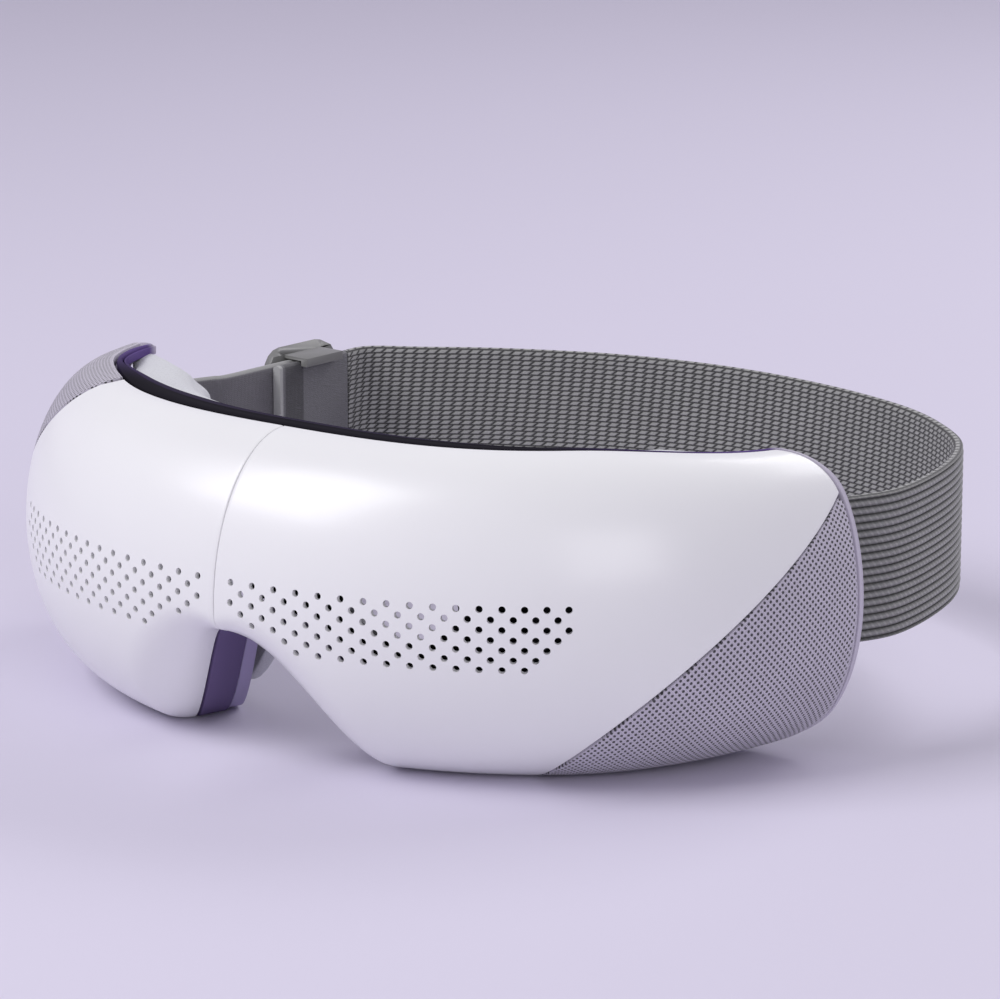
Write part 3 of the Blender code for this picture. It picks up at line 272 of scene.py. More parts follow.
def section(s):
    """Depth, top rise and bottom drop of the shell section."""
    fall = temple_fall(s)
    depth = SECTION_DEPTH + (TEMPLE_SECTION_DEPTH - SECTION_DEPTH) * fall
    rise = TOP_RISE + (TEMPLE_TOP_RISE - TOP_RISE) * fall
    drop = BOTTOM_DROP + (TEMPLE_BOTTOM_DROP - BOTTOM_DROP) * fall
    return depth, rise, drop


def top_depth(s):
    """Depth of the upper half of the section, which is shallower over the brow and the temple."""
    brow = BROW_DEPTH_LOSS * smooth_step(s / BROW_LENGTH)
    return SECTION_DEPTH - brow - TEMPLE_DEPTH_LOSS * temple_fall(s)


def half_section(s, upper):
    """Depth and reach of one half of the section."""
    depth, rise, drop = section(s)
    return (top_depth(s), rise) if upper else (depth, drop)


def notch_z(s):
    """Height of the nose arch."""
    if s >= NOTCH_HALF_WIDTH:
        return 0.0
    return 0.5 * NOTCH_HEIGHT * (1 + math.cos(math.pi * s / NOTCH_HALF_WIDTH))


def notch_slope(s):
    """Slope of the nose arch."""
    swing = math.pi / NOTCH_HALF_WIDTH
    return -0.5 * NOTCH_HEIGHT * swing * math.sin(swing * min(s, NOTCH_HALF_WIDTH))


def notch_roll(s):
    """Radius of the rolled edge of the arch."""
    share = min(s / NOTCH_HALF_WIDTH, 1.0)
    return NOTCH_ROLL_TOP * (1 - share) + NOTCH_ROLL_SIDE * math.sin(math.pi * share)


ARCH = np.array([(s, notch_z(s)) for s in np.linspace(0.0, NOTCH_HALF_WIDTH, 120)])
ARCH_STEPS = np.diff(ARCH, axis=0)


def roll_depth(s, z):
    """Extra depth of the skin near the arch, down to its rolled edge."""
    if s > NOTCH_HALF_WIDTH + NOTCH_ROLL_SIDE:
        return 0.0
    away = np.array((s, z)) - ARCH[:-1]
    share = np.clip((away * ARCH_STEPS).sum(axis=1) / (ARCH_STEPS ** 2).sum(axis=1), 0.0, 1.0)
    near = ARCH[:-1] + share[:, None] * ARCH_STEPS
    distances = np.hypot(s - near[:, 0], z - near[:, 1])
    nearest = int(np.argmin(distances))
    distance, radius = float(distances[nearest]), notch_roll(float(near[nearest, 0]))
    distance = distance if distance > SNAP else 0.0
    if distance >= radius or radius <= 0.0:
        return 0.0
    turn = 1 - distance / radius
    return radius * (1 - math.sqrt(max(1 - turn * turn, 0.0)))


def phi_at(s, z):
    """Section angle at a height."""
    rise, drop = section(s)[1:]
    lift = (z - RIDGE_Z) / (rise if z >= RIDGE_Z else drop)
    return math.asin(min(max(lift, -1.0), 1.0))


def skin(s, phi):
    """Point of the outer skin at a section angle."""
    depth, reach = half_section(s, phi >= 0)
    z = RIDGE_Z + reach * math.sin(phi)
    return place(s, depth * (1 - math.cos(phi)) + roll_depth(s, z), z)


def skin_normal(s, phi):
    """Outward normal of the skin."""
    reach = 0.02
    along = skin(s + reach, phi) - skin(max(s - reach, 0.0), phi)
    up = skin(s, phi + reach) - skin(s, phi - reach)
    return along.cross(up).normalized()


def path_point(points, share):
    """Point at a share of the length of a run of straight steps."""
    points = np.asarray(points, float)
    steps = np.linalg.norm(np.diff(points, axis=0), axis=1)
    run = np.concatenate(([0.0], np.cumsum(steps)))
    return Vector([np.interp(share * run[-1], run, points[:, k]) for k in range(points.shape[1])])


TIP_PHI = phi_at(END_S, TIP_Z)


def end_s(phi):
    """Rear edge of the skin at a section angle, with its two corners rounded off."""
    turn = max(abs(phi) - TIP_PHI, 0.0) / (math.pi / 2 - TIP_PHI)
    return END_S - (TOP_CORNER if phi > 0 else BOTTOM_CORNER) * turn ** CORNER_POWER


END_TOP_S, END_BOTTOM_S = end_s(math.pi / 2), end_s(-math.pi / 2)


def cover_line(side, share):
    """Line between shell and temple cover, from its upper to its lower end.

    On the right it falls forwards from the tip; on the left it is the same line turned upside down.
    """
    share = share if side > 0 else 1 - share
    foot_z = RIDGE_Z - section(COVER_LINE_FOOT_S)[2]
    s = END_S + (COVER_LINE_FOOT_S - END_S) * share
    z = TIP_Z + (foot_z - TIP_Z) * share + COVER_LINE_BOW * 4 * share * (1 - share)
    return s, z if side > 0 else foot_z + RIDGE_Z + section(COVER_LINE_FOOT_S)[1] - z


def rim_run(upper, first, last, steps):
    """Spots along the upper or the lower rim, in s and z."""
    spots = []
    for s in np.linspace(first, last, steps):
        reach = half_section(s, upper)[1]
        spots.append((s, RIDGE_Z + reach if upper else RIDGE_Z - reach))
    return spots


def rear_run(first_phi, last_phi, steps):
    """Spots along the rear edge between two section angles, in s and z."""
    spots = []
    for phi in np.linspace(first_phi, last_phi, steps):
        s = end_s(phi)
        spots.append((s, RIDGE_Z + half_section(s, phi >= 0)[1] * math.sin(phi)))
    return spots


def shell_edges(side):
    """Top and bottom edges of a shell, in s and z."""
    feet = [(s, notch_z(s)) for s in np.linspace(SEAM_S, NOTCH_HALF_WIDTH, 120)]
    if side > 0:
        tops = rim_run(True, SEAM_S, END_TOP_S, 200)
        tops += rear_run(math.pi / 2, TIP_PHI, 40)[1:]
        feet += rim_run(False, NOTCH_HALF_WIDTH, COVER_LINE_FOOT_S, 80)[1:]
    else:
        tops = rim_run(True, SEAM_S, COVER_LINE_FOOT_S, 120)
        feet += rim_run(False, NOTCH_HALF_WIDTH, END_BOTTOM_S, 160)[1:]
        feet += rear_run(-math.pi / 2, LOW_TIP_PHI, 40)[1:]
    return tops, feet


LOW_TIP_PHI = phi_at(*cover_line(-1, 1.0))
SHELL_EDGES = {side: shell_edges(side) for side in SIDES}


@lru_cache(maxsize=4000)
def shell_column(side, along):
    """Places of the top and the foot of one column of a shell, in s and section angle."""
    top, foot = (path_point(edge, along) for edge in SHELL_EDGES[side])
    return Vector((top[0], phi_at(*top))), Vector((foot[0], phi_at(*foot)))


def shell_spot(side, along, up):
    """Point of a shell, whose last column is pulled onto the line of the temple cover."""
    start, end = shell_column(side, along)
    down = 1 - up
    last_top, last_foot = shell_column(side, 1.0)
    line_s, line_z = cover_line(side, down)
    pull = Vector((line_s, phi_at(line_s, line_z))) - last_top.lerp(last_foot, down)
    return skin(*(start.lerp(end, down) + pull * along ** 2))


def cover_edge(side):
    """Outer edge of a temple cover, from its upper to its lower end."""
    if side > 0:
        edge = rear_run(TIP_PHI, -math.pi / 2, 90)
        return edge + rim_run(False, END_BOTTOM_S, COVER_LINE_FOOT_S, 60)[1:]
    edge = rim_run(True, COVER_LINE_FOOT_S, END_TOP_S, 60)
    return edge + rear_run(math.pi / 2, LOW_TIP_PHI, 90)[1:]


COVER_EDGES = {side: cover_edge(side) for side in SIDES}


@lru_cache(maxsize=100000)
def cover_angles(side, share, across):
    """Place of a temple cover point, in s and section angle."""
    share = COVER_END_SHARE + (1 - 2 * COVER_END_SHARE) * share
    s0, z0 = cover_line(side, share)
    s1, z1 = path_point(COVER_EDGES[side], share)
    phi0, phi1 = phi_at(s0, z0), phi_at(s1, z1)
    gap = min(COVER_GAP / max(math.hypot(s1 - s0, z1 - z0), 1e-6), 0.5)
    across = gap + (1 - gap) * across
    return s0 + (s1 - s0) * across, phi0 + (phi1 - phi0) * across


def corner_way(s, end):
    """Way back from the rim, along s and t, which swings round towards a rear corner."""
    swing = math.radians(CORNER_SWING) * smooth_step((s - end + RIM_CORNER) / RIM_CORNER)
    return math.sin(swing), math.cos(swing)


def rim_loop(steps):
    """Stations round the rim of the right half: place, way back and way in."""
    stations = []
    for s in np.linspace(0.0, END_TOP_S, 2 * steps)[:-1]:
        depth, rise = half_section(s, True)
        stations.append(((s, depth, RIDGE_Z + rise), corner_way(s, END_TOP_S), (0.0, 0.0, -1.0)))
    for phi in np.radians(np.linspace(90.0, -90.0, 2 * steps + 1)):
        s = end_s(phi)
        depth, reach = half_section(s, phi >= 0)
        z = RIDGE_Z + reach * math.sin(phi)
        inward = Vector((0.0, math.cos(phi) * reach, -math.sin(phi) * depth)).normalized()
        corner = smooth_step((abs(math.degrees(phi)) - REAR_SWING_FROM) / REAR_SWING_REACH)
        swing = math.radians(90 - CORNER_SWING * corner)
        back = (math.sin(swing), math.cos(swing))
        stations.append(((s, depth * (1 - math.cos(phi)), z), back, tuple(inward)))
    for s in np.linspace(END_BOTTOM_S, NOTCH_HALF_WIDTH, 2 * steps)[1:]:
        depth, drop = half_section(s, False)
        stations.append(((s, depth, RIDGE_Z - drop), corner_way(s, END_BOTTOM_S), (0.0, 0.0, 1.0)))
    for s in np.linspace(NOTCH_HALF_WIDTH, 0.0, steps + 1)[1:]:
        z = notch_z(s)
        t = section(s)[0] * (1 - math.cos(phi_at(s, z))) + notch_roll(s)
        slope = notch_slope(s)
        length = math.hypot(slope, 1.0)
        stations.append(((s, t, z), (0.0, 1.0), (-slope / length, 0.0, 1 / length)))
    return stations


def band_fade(s, z):
    """Share of the narrowing of the rims towards the temple."""
    first, last = TOP_BAND_FADE if z >= RIDGE_Z else BOTTOM_BAND_FADE
    return smooth_step((s - first) / (last - first))


def band_at(s, z):
    """Depth of the black band."""
    band = FRAME_BAND + (FRAME_TEMPLE_BAND - FRAME_BAND) * band_fade(s, z)
    if z < RIDGE_Z and s < NOTCH_HALF_WIDTH:
        band += (FRAME_NOTCH_BAND - FRAME_BAND) * math.cos(math.pi * s / NOTCH_HALF_WIDTH / 2)
    return band


def bezel_band_at(s, z):
    """Depth of the bezel's band."""
    return BEZEL_BAND + (BEZEL_TEMPLE_BAND - BEZEL_BAND) * band_fade(s, z)


def rim_end(s, z):
    """Depth at which the bezel ends along the upper rim and round its rear corner."""
    corner = smooth_step((s - END_TOP_S + RIM_CORNER) / RIM_CORNER)
    rim = top_depth(s) * (1 - corner * math.cos(phi_at(s, z)))
    return rim + RIM_GAP + band_at(s, z) + GAP + bezel_band_at(s, z)


def plate_depth(s, z):
    """Depth of the inner plate, which is relieved over the nose and wraps in at its ends."""
    bridge = smooth_step(1 - s / PLATE_BRIDGE_HALF_WIDTH)
    bridge *= smooth_step((PLATE_BRIDGE_TOP_Z - z) / PLATE_BRIDGE_FADE)
    wrap = smooth_step((s - END_S + PLATE_WRAP_LENGTH) / PLATE_WRAP_LENGTH)
    flat = section(s)[0] + PLATE_SETBACK
    return flat - PLATE_BRIDGE_RELIEF * bridge + (PLATE_END_DEPTH - flat) * wrap


def inner_limits(s, edge):
    """Lowest and highest z inside the section at the plate's depth."""
    depth, rise, drop = section(s)
    share = min(plate_depth(s, RIDGE_Z) / depth, 1.0)
    spread = math.sqrt(1 - (1 - share) ** 2)
    return RIDGE_Z - (drop - edge) * spread, RIDGE_Z + (rise - edge) * spread


@lru_cache(maxsize=5000)
def eye_ring(angle):
    """Inner and outer outline of a cushion at one angle, in s and z."""
    centre_s = (CUSHION_START_S + CUSHION_END_S) / 2
    half_width = (CUSHION_END_S - CUSHION_START_S) / 2
    cos, sin = math.cos(angle), math.sin(angle)
    swell = (abs(cos) ** CUSHION_POWER + abs(sin) ** CUSHION_POWER) ** (-1 / CUSHION_POWER)
    outer_s = centre_s + half_width * swell * cos
    half_height = CUSHION_TOP_REACH if sin > 0 else CUSHION_HALF_HEIGHT
    outer_z = CUSHION_Z + half_height * swell * sin
    outer_z = max(outer_z, notch_z(outer_s) + FRAME_WALL + BEZEL_WALL + 2 * GAP)
    low = inner_limits(outer_s, FRAME_WALL + BEZEL_WALL)[0]
    high = RIDGE_Z + section(outer_s)[1] - BEZEL_STEP - RIM_SLOPE * (FRAME_BAND + BEZEL_BAND)
    outer_z = min(max(outer_z, low), high)
    inner = Vector((EYE_S + EYE_HALF_WIDTH * cos, EYE_Z + EYE_HALF_HEIGHT * sin))
    return inner, Vector((outer_s, outer_z))


def spline(points, steps, fineness=20):
    """Smooth curve through plan points, with even steps along it."""
    pts = [Vector(p) for p in points]
    pts = [2 * pts[0] - pts[1]] + pts + [2 * pts[-1] - pts[-2]]
    fine = []
    for a, b, c, d in zip(pts, pts[1:], pts[2:], pts[3:]):
        for k in range(fineness):
            u = k / fineness
            fine.append(0.5 * (2 * b + (c - a) * u + (2 * a - 5 * b + 4 * c - d) * u * u
                               + (3 * b - a - 3 * c + d) * u ** 3))
    fine.append(pts[-2])
    return [path_point(fine, i / steps) for i in range(steps + 1)]


def route_point(side, spot):
    """Plan point at an outset from the temple's edge and a way back from it."""
    return Vector((side * (ridge(END_S)[0] + spot[0]), TEMPLE_Y + spot[1]))


def run_length():
    """Length of the straight run of the strap."""
    return (route_point(-1, RUN_BACK) - route_point(-1, RUN_FRONT)).length


def run_point(along, aside=0.0):
    """Plan point on the straight run of the strap."""
    front = route_point(-1, RUN_FRONT)
    ahead = (route_point(-1, RUN_BACK) - front).normalized()
    return front + ahead * along + Vector((ahead.y, -ahead.x)) * aside


def only(piece):
    """Select one piece and make it active."""
    bpy.ops.object.select_all(action="DESELECT")
    piece.select_set(True)
    bpy.context.view_layer.objects.active = piece


def name_piece(name):
    piece = bpy.context.object
    piece.name = piece.data.name = name
    return piece


def grid_piece(name, columns, rows, spot, flat=None, marks=None):
    """Grid primitive laid on a surface by the shares of its columns and rows.

    flat gives the UV of a share pair in millimetres, and marks named point values.
    """
    bpy.ops.object.select_all(action="DESELECT")
    bpy.ops.mesh.primitive_grid_add(x_subdivisions=columns, y_subdivisions=rows, size=1.0)
    piece = name_piece(name)
    mesh = piece.data
    shares = [(round(v.co.x + 0.5, 6), round(v.co.y + 0.5, 6)) for v in mesh.vertices]
    if flat:
        layer = mesh.uv_layers.active.data
        for loop in mesh.loops:
            layer[loop.index].uv = flat(*shares[loop.vertex_index])
    for mark, value in (marks or {}).items():
        values = mesh.attributes.new(mark, "FLOAT", "POINT").data
        for index, pair in enumerate(shares):
            values[index].value = value(*pair)
    for vertex, pair in zip(mesh.vertices, shares):
        vertex.co = Vector(spot(*pair)) * MM
    mesh.update()
    return piece


def close_up(piece, fill=False):
    """Merge the meeting edges of a rolled grid, cap its open ends and face it outwards."""
    only(piece)
    bpy.ops.object.mode_set(mode="EDIT")
    bpy.ops.mesh.select_all(action="SELECT")
    bpy.ops.mesh.remove_doubles(threshold=0.00001)
    if fill:
        bpy.ops.mesh.select_all(action="SELECT")
        bpy.ops.mesh.fill_holes(sides=0)
    bpy.ops.mesh.select_all(action="SELECT")
    bpy.ops.mesh.normals_make_consistent(inside=False)
    bpy.ops.object.mode_set(mode="OBJECT")
    return piece


def apply_step(piece, kind, **settings):
    """Add a modifier with its settings and apply it."""
    only(piece)
    step = piece.modifiers.new(kind.lower(), kind)
    for key, value in settings.items():
        setattr(step, key, value)
    bpy.ops.object.modifier_apply(modifier=step.name)
    return piece


def round_edges(piece, width, angle=50, segments=2):
    return apply_step(piece, "BEVEL", width=width, segments=segments, limit_method="ANGLE",
                      angle_limit=math.radians(angle))


def smooth(piece, angle=35):
    only(piece)
    bpy.ops.object.shade_smooth_by_angle(angle=math.radians(angle))
    return piece


def to_side(piece, side):
    """Turn a piece made as a right-hand one over to its own side."""
    if side < 0:
        piece.data.transform(Matrix.Diagonal((-1.0, 1.0, 1.0, 1.0)))
        piece.data.flip_normals()
    return piece


def twin(piece, name):
    """Left-hand copy of a right-hand piece, with its own mesh."""
    only(piece)
    bpy.ops.object.duplicate()
    return to_side(name_piece(name), -1)


def cut(piece, cutter):
    apply_step(piece, "BOOLEAN", operation="DIFFERENCE", solver="EXACT", object=cutter)
    bpy.data.objects.remove(cutter, do_unlink=True)
    return piece


def cad_copy(node, name):
    """Merged copy of a CAD node."""
    mesh = NODES[node].data.copy()
    piece = bpy.data.objects.new(name, mesh)
    bpy.context.scene.collection.objects.link(piece)
    mesh.name = name
    only(piece)
    bpy.ops.object.mode_set(mode="EDIT")
    bpy.ops.mesh.select_all(action="SELECT")
    bpy.ops.mesh.remove_doubles(threshold=0.000002)
    bpy.ops.mesh.tris_convert_to_quads()
    bpy.ops.object.mode_set(mode="OBJECT")
    return piece


def dress(piece, finish, body="mask", nodes=()):
    """Give a piece its finish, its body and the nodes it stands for."""
    piece.data.materials.clear()
    piece.data.materials.append(finish)
    for face in piece.data.polygons:
        face.material_index = 0
    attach(piece, body)
    if nodes:
        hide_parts(*nodes)
    return piece


def new_finish(name, rough, metal=0.0, **sockets):
    """Principled material with its constants on the shader's own sockets."""
    finish = bpy.data.materials.new(name)
    finish.use_nodes = True
    shader = finish.node_tree.nodes["Principled BSDF"]
    shader.inputs["Roughness"].default_value = rough
    shader.inputs["Metallic"].default_value = metal
    for socket, value in sockets.items():
        shader.inputs[socket.replace("_", " ")].default_value = value
    return finish, finish.node_tree, shader


def add(tree, kind, inputs=None, **settings):
    """Node with its settings, its numbers and its incoming links."""
    made = tree.nodes.new(kind)
    for key, value in settings.items():
        setattr(made, key, value)
    for key, value in (inputs or {}).items():
        if isinstance(value, bpy.types.NodeSocket):
            tree.links.new(value, made.inputs[key])
        else:
            made.inputs[key].default_value = value
    return made


def maths(tree, operation, first, second=0.0):
    return add(tree, "ShaderNodeMath", {0: first, 1: second}, operation=operation).outputs[0]


def blend(tree, factor, first, second):
    """Mix of two colours."""
    return add(tree, "ShaderNodeMix", {0: factor, 6: first, 7: second}, data_type="RGBA").outputs[2]


def shade(colour, factor):
    return tuple(min(c * factor, 1.0) for c in colour) + (1.0,)


def object_noise(tree, scale, detail=2.0):
    """Noise over the piece's own coordinates."""
    at = add(tree, "ShaderNodeTexCoord").outputs["Object"]
    noise = add(tree, "ShaderNodeTexNoise", {"Vector": at, "Scale": scale, "Detail": detail})
    return noise.outputs["Fac"]


def spread(tree, value, low, high):
    """Value from 0 to 1 laid out between two numbers."""
    return add(tree, "ShaderNodeMapRange", {"Value": value, "To Min": low, "To Max": high}).outputs[0]


def ramp(tree, value, limits):
    """Smooth rise from 0 at the first limit to 1 at the second."""
    span = {"Value": value, "From Min": limits[0], "From Max": limits[1]}
    return add(tree, "ShaderNodeMapRange", span, interpolation_type="SMOOTHSTEP").outputs[0]


def marked_share(tree, mark):
    """Named point value of the piece."""
    return add(tree, "ShaderNodeAttribute", attribute_name=mark).outputs["Fac"]


def bump(tree, shader, height, distance, strength):
    made = add(tree, "ShaderNodeBump", {"Height": height, "Distance": distance, "Strength": strength})
    tree.links.new(made.outputs[0], shader.inputs["Normal"])


def moulded(name, colour, rough, variation=0.04, grain=900.0, grain_depth=0.00002, **sockets):
    """Moulded plastic: faint cloudiness, uneven polish and a fine surface grain."""
    finish, tree, shader = new_finish(name, rough, **sockets)
    clouds = object_noise(tree, CLOUD_SCALE)
    mix = blend(tree, clouds, shade(colour, 1 - variation), shade(colour, 1 + variation))
    tree.links.new(mix, shader.inputs["Base Color"])
    polish = spread(tree, object_noise(tree, POLISH_SCALE), rough * 0.85, rough * 1.15)
    tree.links.new(polish, shader.inputs["Roughness"])
    bump(tree, shader, object_noise(tree, grain), grain_depth, 0.4)
    return finish


def rim_finish(name, colour, arch_reflection_colour):
    """Polished rim: dark along the brow, a painted violet reflection in the arch and the temple,
    knit-coloured at the rear.
    """
    finish, tree, shader = new_finish(
        name, 0.2, Specular_IOR_Level=0.0, Coat_Weight=0.05, Coat_Roughness=0.15)
    at = add(tree, "ShaderNodeTexCoord").outputs["Object"]
    x, y, z = add(tree, "ShaderNodeSeparateXYZ", {0: at}).outputs
    tone = blend(tree, object_noise(tree, CLOUD_SCALE), shade(colour, 0.9), shade(colour, 1.1))
    # Painted reflection: violet in the arch, by the piece's own x and z
    across = ramp(tree, maths(tree, "ABSOLUTE", x), ARCH_REFLECTION_X)
    arch = maths(tree, "MULTIPLY", across, ramp(tree, z, ARCH_REFLECTION_Z))
    tone = blend(tree, arch, tone, shade(arch_reflection_colour, 1.0))
    # Painted violet reflection back along the temple, then the knit's colour at the rear
    for reflection_and_hem_colour, reach in ((TEMPLE_REFLECTION, TEMPLE_REFLECTION_Y), (colours().knit, REAR_TINT_Y)):
        tone = blend(tree, ramp(tree, y, reach), tone, shade(reflection_and_hem_colour, 1.0))
    tree.links.new(tone, shader.inputs["Base Color"])
    polish = spread(tree, object_noise(tree, POLISH_SCALE), 0.17, 0.23)
    tree.links.new(polish, shader.inputs["Roughness"])
    return finish


def leather_finish(name, colour):
    """Fine-grained leather: small cells, creases between them darkened as painted shade, and soft
    mottling.
    """
    finish, tree, shader = new_finish(name, 0.55, Sheen_Weight=0.15)
    at = add(tree, "ShaderNodeTexCoord").outputs["Object"]
    cells = add(tree, "ShaderNodeTexVoronoi", {"Vector": at, "Scale": 1300.0},
                feature="DISTANCE_TO_EDGE")
    crease = spread(tree, cells.outputs["Distance"], 0.0, 1.0)
    mottle = object_noise(tree, 60.0, 4.0)
    tone = blend(tree, mottle, shade(colour, 0.94), shade(colour, 1.05))
    # Painted shade: the creases between the cells are darkened
    deep = maths(tree, "LESS_THAN", crease, 0.06)
    tree.links.new(blend(tree, maths(tree, "MULTIPLY", deep, 0.35), tone, shade(colour, 0.7)),
                   shader.inputs["Base Color"])
    tree.links.new(spread(tree, mottle, 0.48, 0.62), shader.inputs["Roughness"])
    bump(tree, shader, crease, 0.00012, 0.5)
    return finish


def pattern_uv(tree):
    """U and V of the piece's own map, in millimetres."""
    parts = add(tree, "ShaderNodeSeparateXYZ", {0: add(tree, "ShaderNodeTexCoord").outputs["UV"]})
    return parts.outputs[0], parts.outputs[1]


def lattice(tree, u, v, pitch, shift):
    """Distance to the nearest point of a square lattice, in pitches."""
    sides = []
    for value in (u, v):
        step = maths(tree, "FRACT", maths(tree, "ADD", maths(tree, "DIVIDE", value, pitch), shift))
        sides.append(maths(tree, "SUBTRACT", step, 0.5))
    squares = [maths(tree, "MULTIPLY", side, side) for side in sides]
    return maths(tree, "SQRT", maths(tree, "ADD", *squares))


def knit_finish(name, colour, pitch):
    """Knitted cover: a quincunx of pinholes, painted near-black as shade, between short slanted stitches.
    """
    finish, tree, shader = new_finish(name, 0.85, Sheen_Weight=0.25)
    u, v = pattern_uv(tree)
    wobble = maths(tree, "MULTIPLY", maths(tree, "SUBTRACT", object_noise(tree, 220.0), 0.5), 0.35)
    u = maths(tree, "ADD", u, wobble)
    near = maths(tree, "MINIMUM", lattice(tree, u, v, pitch, 100.0), lattice(tree, u, v, pitch, 100.5))
    turns = 2 * math.pi / pitch
    slant = maths(tree, "ADD", maths(tree, "MULTIPLY", u, turns), maths(tree, "MULTIPLY", v, turns))
    stitch = spread(tree, maths(tree, "SINE", maths(tree, "MULTIPLY", slant, 2.0)), 0.0, 1.0)
    solid = maths(tree, "MAXIMUM", ramp(tree, near, (0.13, 0.26)), marked_share(tree, "turned_edge"))
    yarn = blend(tree, stitch, shade(colour, 0.82), shade(colour, 1.16))
    yarn = blend(tree, object_noise(tree, 90.0), yarn, shade(colour, 1.08))
    # Painted shade: the pinholes are near-black, except on the turned edge
    tree.links.new(blend(tree, solid, shade(colour, 0.09), yarn), shader.inputs["Base Color"])
    height = maths(tree, "ADD", solid, maths(tree, "MULTIPLY", stitch, 0.35))
    bump(tree, shader, height, 0.00035, 0.8)
    return finish


def webbing_finish(name, colour):
    """Mesh strap: twisted cords along the outside, a slanted brick weave inside, painted shade in its
    grooves and gaps.
    """
    finish, tree, shader = new_finish(name, 0.75, Sheen_Weight=0.2)
    u, v = pattern_uv(tree)
    turns = [maths(tree, "MULTIPLY", value, rate) for value, rate in zip((u, v), CORD_TWIST)]
    twist = spread(tree, maths(tree, "SINE", maths(tree, "ADD", *turns)), 0.72, 1.0)
    row = maths(tree, "DIVIDE", v, BRICK_HEIGHT)
    height = maths(tree, "FRACT", row)
    shift = maths(tree, "MULTIPLY", maths(tree, "FLOOR", row), BRICK_SHIFT)
    along = maths(tree, "ADD", maths(tree, "DIVIDE", u, BRICK_LENGTH), shift)
    along = maths(tree, "ADD", along, maths(tree, "MULTIPLY", height, BRICK_SLANT))
    sides = [maths(tree, "ABSOLUTE", maths(tree, "SUBTRACT", share, 0.5))
             for share in (maths(tree, "FRACT", along), height)]
    brick = ramp(tree, maths(tree, "MAXIMUM", *sides), (0.48, 0.26))
    outside, groove = marked_share(tree, "outside"), marked_share(tree, "groove")
    cord = maths(tree, "MULTIPLY", twist, maths(tree, "SUBTRACT", 1.0, groove))
    weave = add(tree, "ShaderNodeMix", {0: outside, 2: brick, 3: cord}, data_type="FLOAT").outputs[0]
    yarn = blend(tree, object_noise(tree, 160.0), shade(colour, 0.9), shade(colour, 1.12))
    # Painted shade: the grooves between the ribs and the gaps between the bricks are near-black
    tree.links.new(blend(tree, weave, shade(colour, 0.10), yarn), shader.inputs["Base Color"])
    bump(tree, shader, weave, 0.0005, 0.8)
    return finish


def band_finish(name, colour, light_edge):
    """Close-woven band: a fine slanted weave with a paler, thicker edge."""
    finish, tree, shader = new_finish(name, 0.7, Sheen_Weight=0.2)
    u, v = pattern_uv(tree)
    rise = maths(tree, "SINE", maths(tree, "MULTIPLY", maths(tree, "ADD", u, v), 7.0))
    fall = maths(tree, "SINE", maths(tree, "MULTIPLY", maths(tree, "SUBTRACT", u, v), 7.0))
    weave = spread(tree, maths(tree, "MULTIPLY", rise, fall), 0.2, 0.8)
    yarn = blend(tree, weave, shade(colour, 0.85), shade(colour, 1.15))
    yarn = blend(tree, object_noise(tree, 80.0), yarn, shade(colour, 1.1))
    yarn = blend(tree, marked_share(tree, "strip"), yarn, shade(colour, 0.45))
    yarn = blend(tree, marked_share(tree, "hem"), yarn, shade(light_edge, 1.0))
    tree.links.new(yarn, shader.inputs["Base Color"])
    bump(tree, shader, weave, 0.0002, 0.6)
    return finish


def brushed_finish(name, colour, rough):
    """Plain steel with faint drawn lines."""
    finish, tree, shader = new_finish(name, rough, 1.0)
    at = add(tree, "ShaderNodeTexCoord").outputs["Object"]
    lines = add(tree, "ShaderNodeMapping", {"Vector": at, "Scale": (1.0, 1.0, 30.0)}).outputs[0]
    drawn = add(tree, "ShaderNodeTexNoise", {"Vector": lines, "Scale": 400.0}).outputs["Fac"]
    tone = blend(tree, drawn, shade(colour, 0.85), shade(colour, 1.1))
    tree.links.new(tone, shader.inputs["Base Color"])
    tree.links.new(spread(tree, drawn, rough * 0.8, rough * 1.3), shader.inputs["Roughness"])
    return finish


def hole_places():
    """Hole centres in s and z."""
    for column in range(1, HOLE_COLUMNS + 1):
        step = column - 1
        s = HOLE_FIRST_S + HOLE_COLUMN_PITCH * step - HOLE_PITCH_LOSS * step * step
        for row in range(2 - column % 2, SHORT_COLUMNS.get(column, HOLE_ROWS) + 1, 2):
            yield s, HOLE_TOP_Z - HOLE_ROW_PITCH * (row - 1)


def hole_cutter():
    """One drill, copied to every hole of the right shell and joined."""
    bpy.ops.object.select_all(action="DESELECT")
    bpy.ops.mesh.primitive_cylinder_add(
        vertices=16, radius=sizes().hole_diameter / 2, depth=3 * SHELL_WALL * MM)
    drill = name_piece("hole_drill")
    places = list(hole_places())
    drills = [drill]
    for _ in places[1:]:
        other = bpy.data.objects.new("hole_drill", drill.data.copy())
        bpy.context.scene.collection.objects.link(other)
        drills.append(other)
    for item, (s, z) in zip(drills, places):
        phi = phi_at(s, z)
        axis = skin_normal(s, phi)
        turn = axis.to_track_quat("Z", "Y").to_matrix().to_4x4()
        item.data.transform(Matrix.Translation((skin(s, phi) - axis * SHELL_WALL / 2) * MM) @ turn)
        item.select_set(True)
    bpy.context.view_layer.objects.active = drill
    bpy.ops.object.join()
    return bpy.context.object


def make_shells():
    white = moulded("satin_white", colours().white, 0.32, 0.015, 700.0, 0.000015, Coat_Weight=0.25,
                    Coat_Roughness=0.2)
    for side, name in SIDES.items():
        piece = grid_piece(f"front_shell_skin_{name}", *SHELL_GRID, lambda a, b: shell_spot(side, a, b))
        apply_step(piece, "SOLIDIFY", thickness=SHELL_SKIN * MM, offset=-1.0)
        round_edges(piece, sizes().edge_radius)
        cut(piece, hole_cutter())
        dress(to_side(smooth(piece), side), white, "mask", [f"front_shell_{name}"])


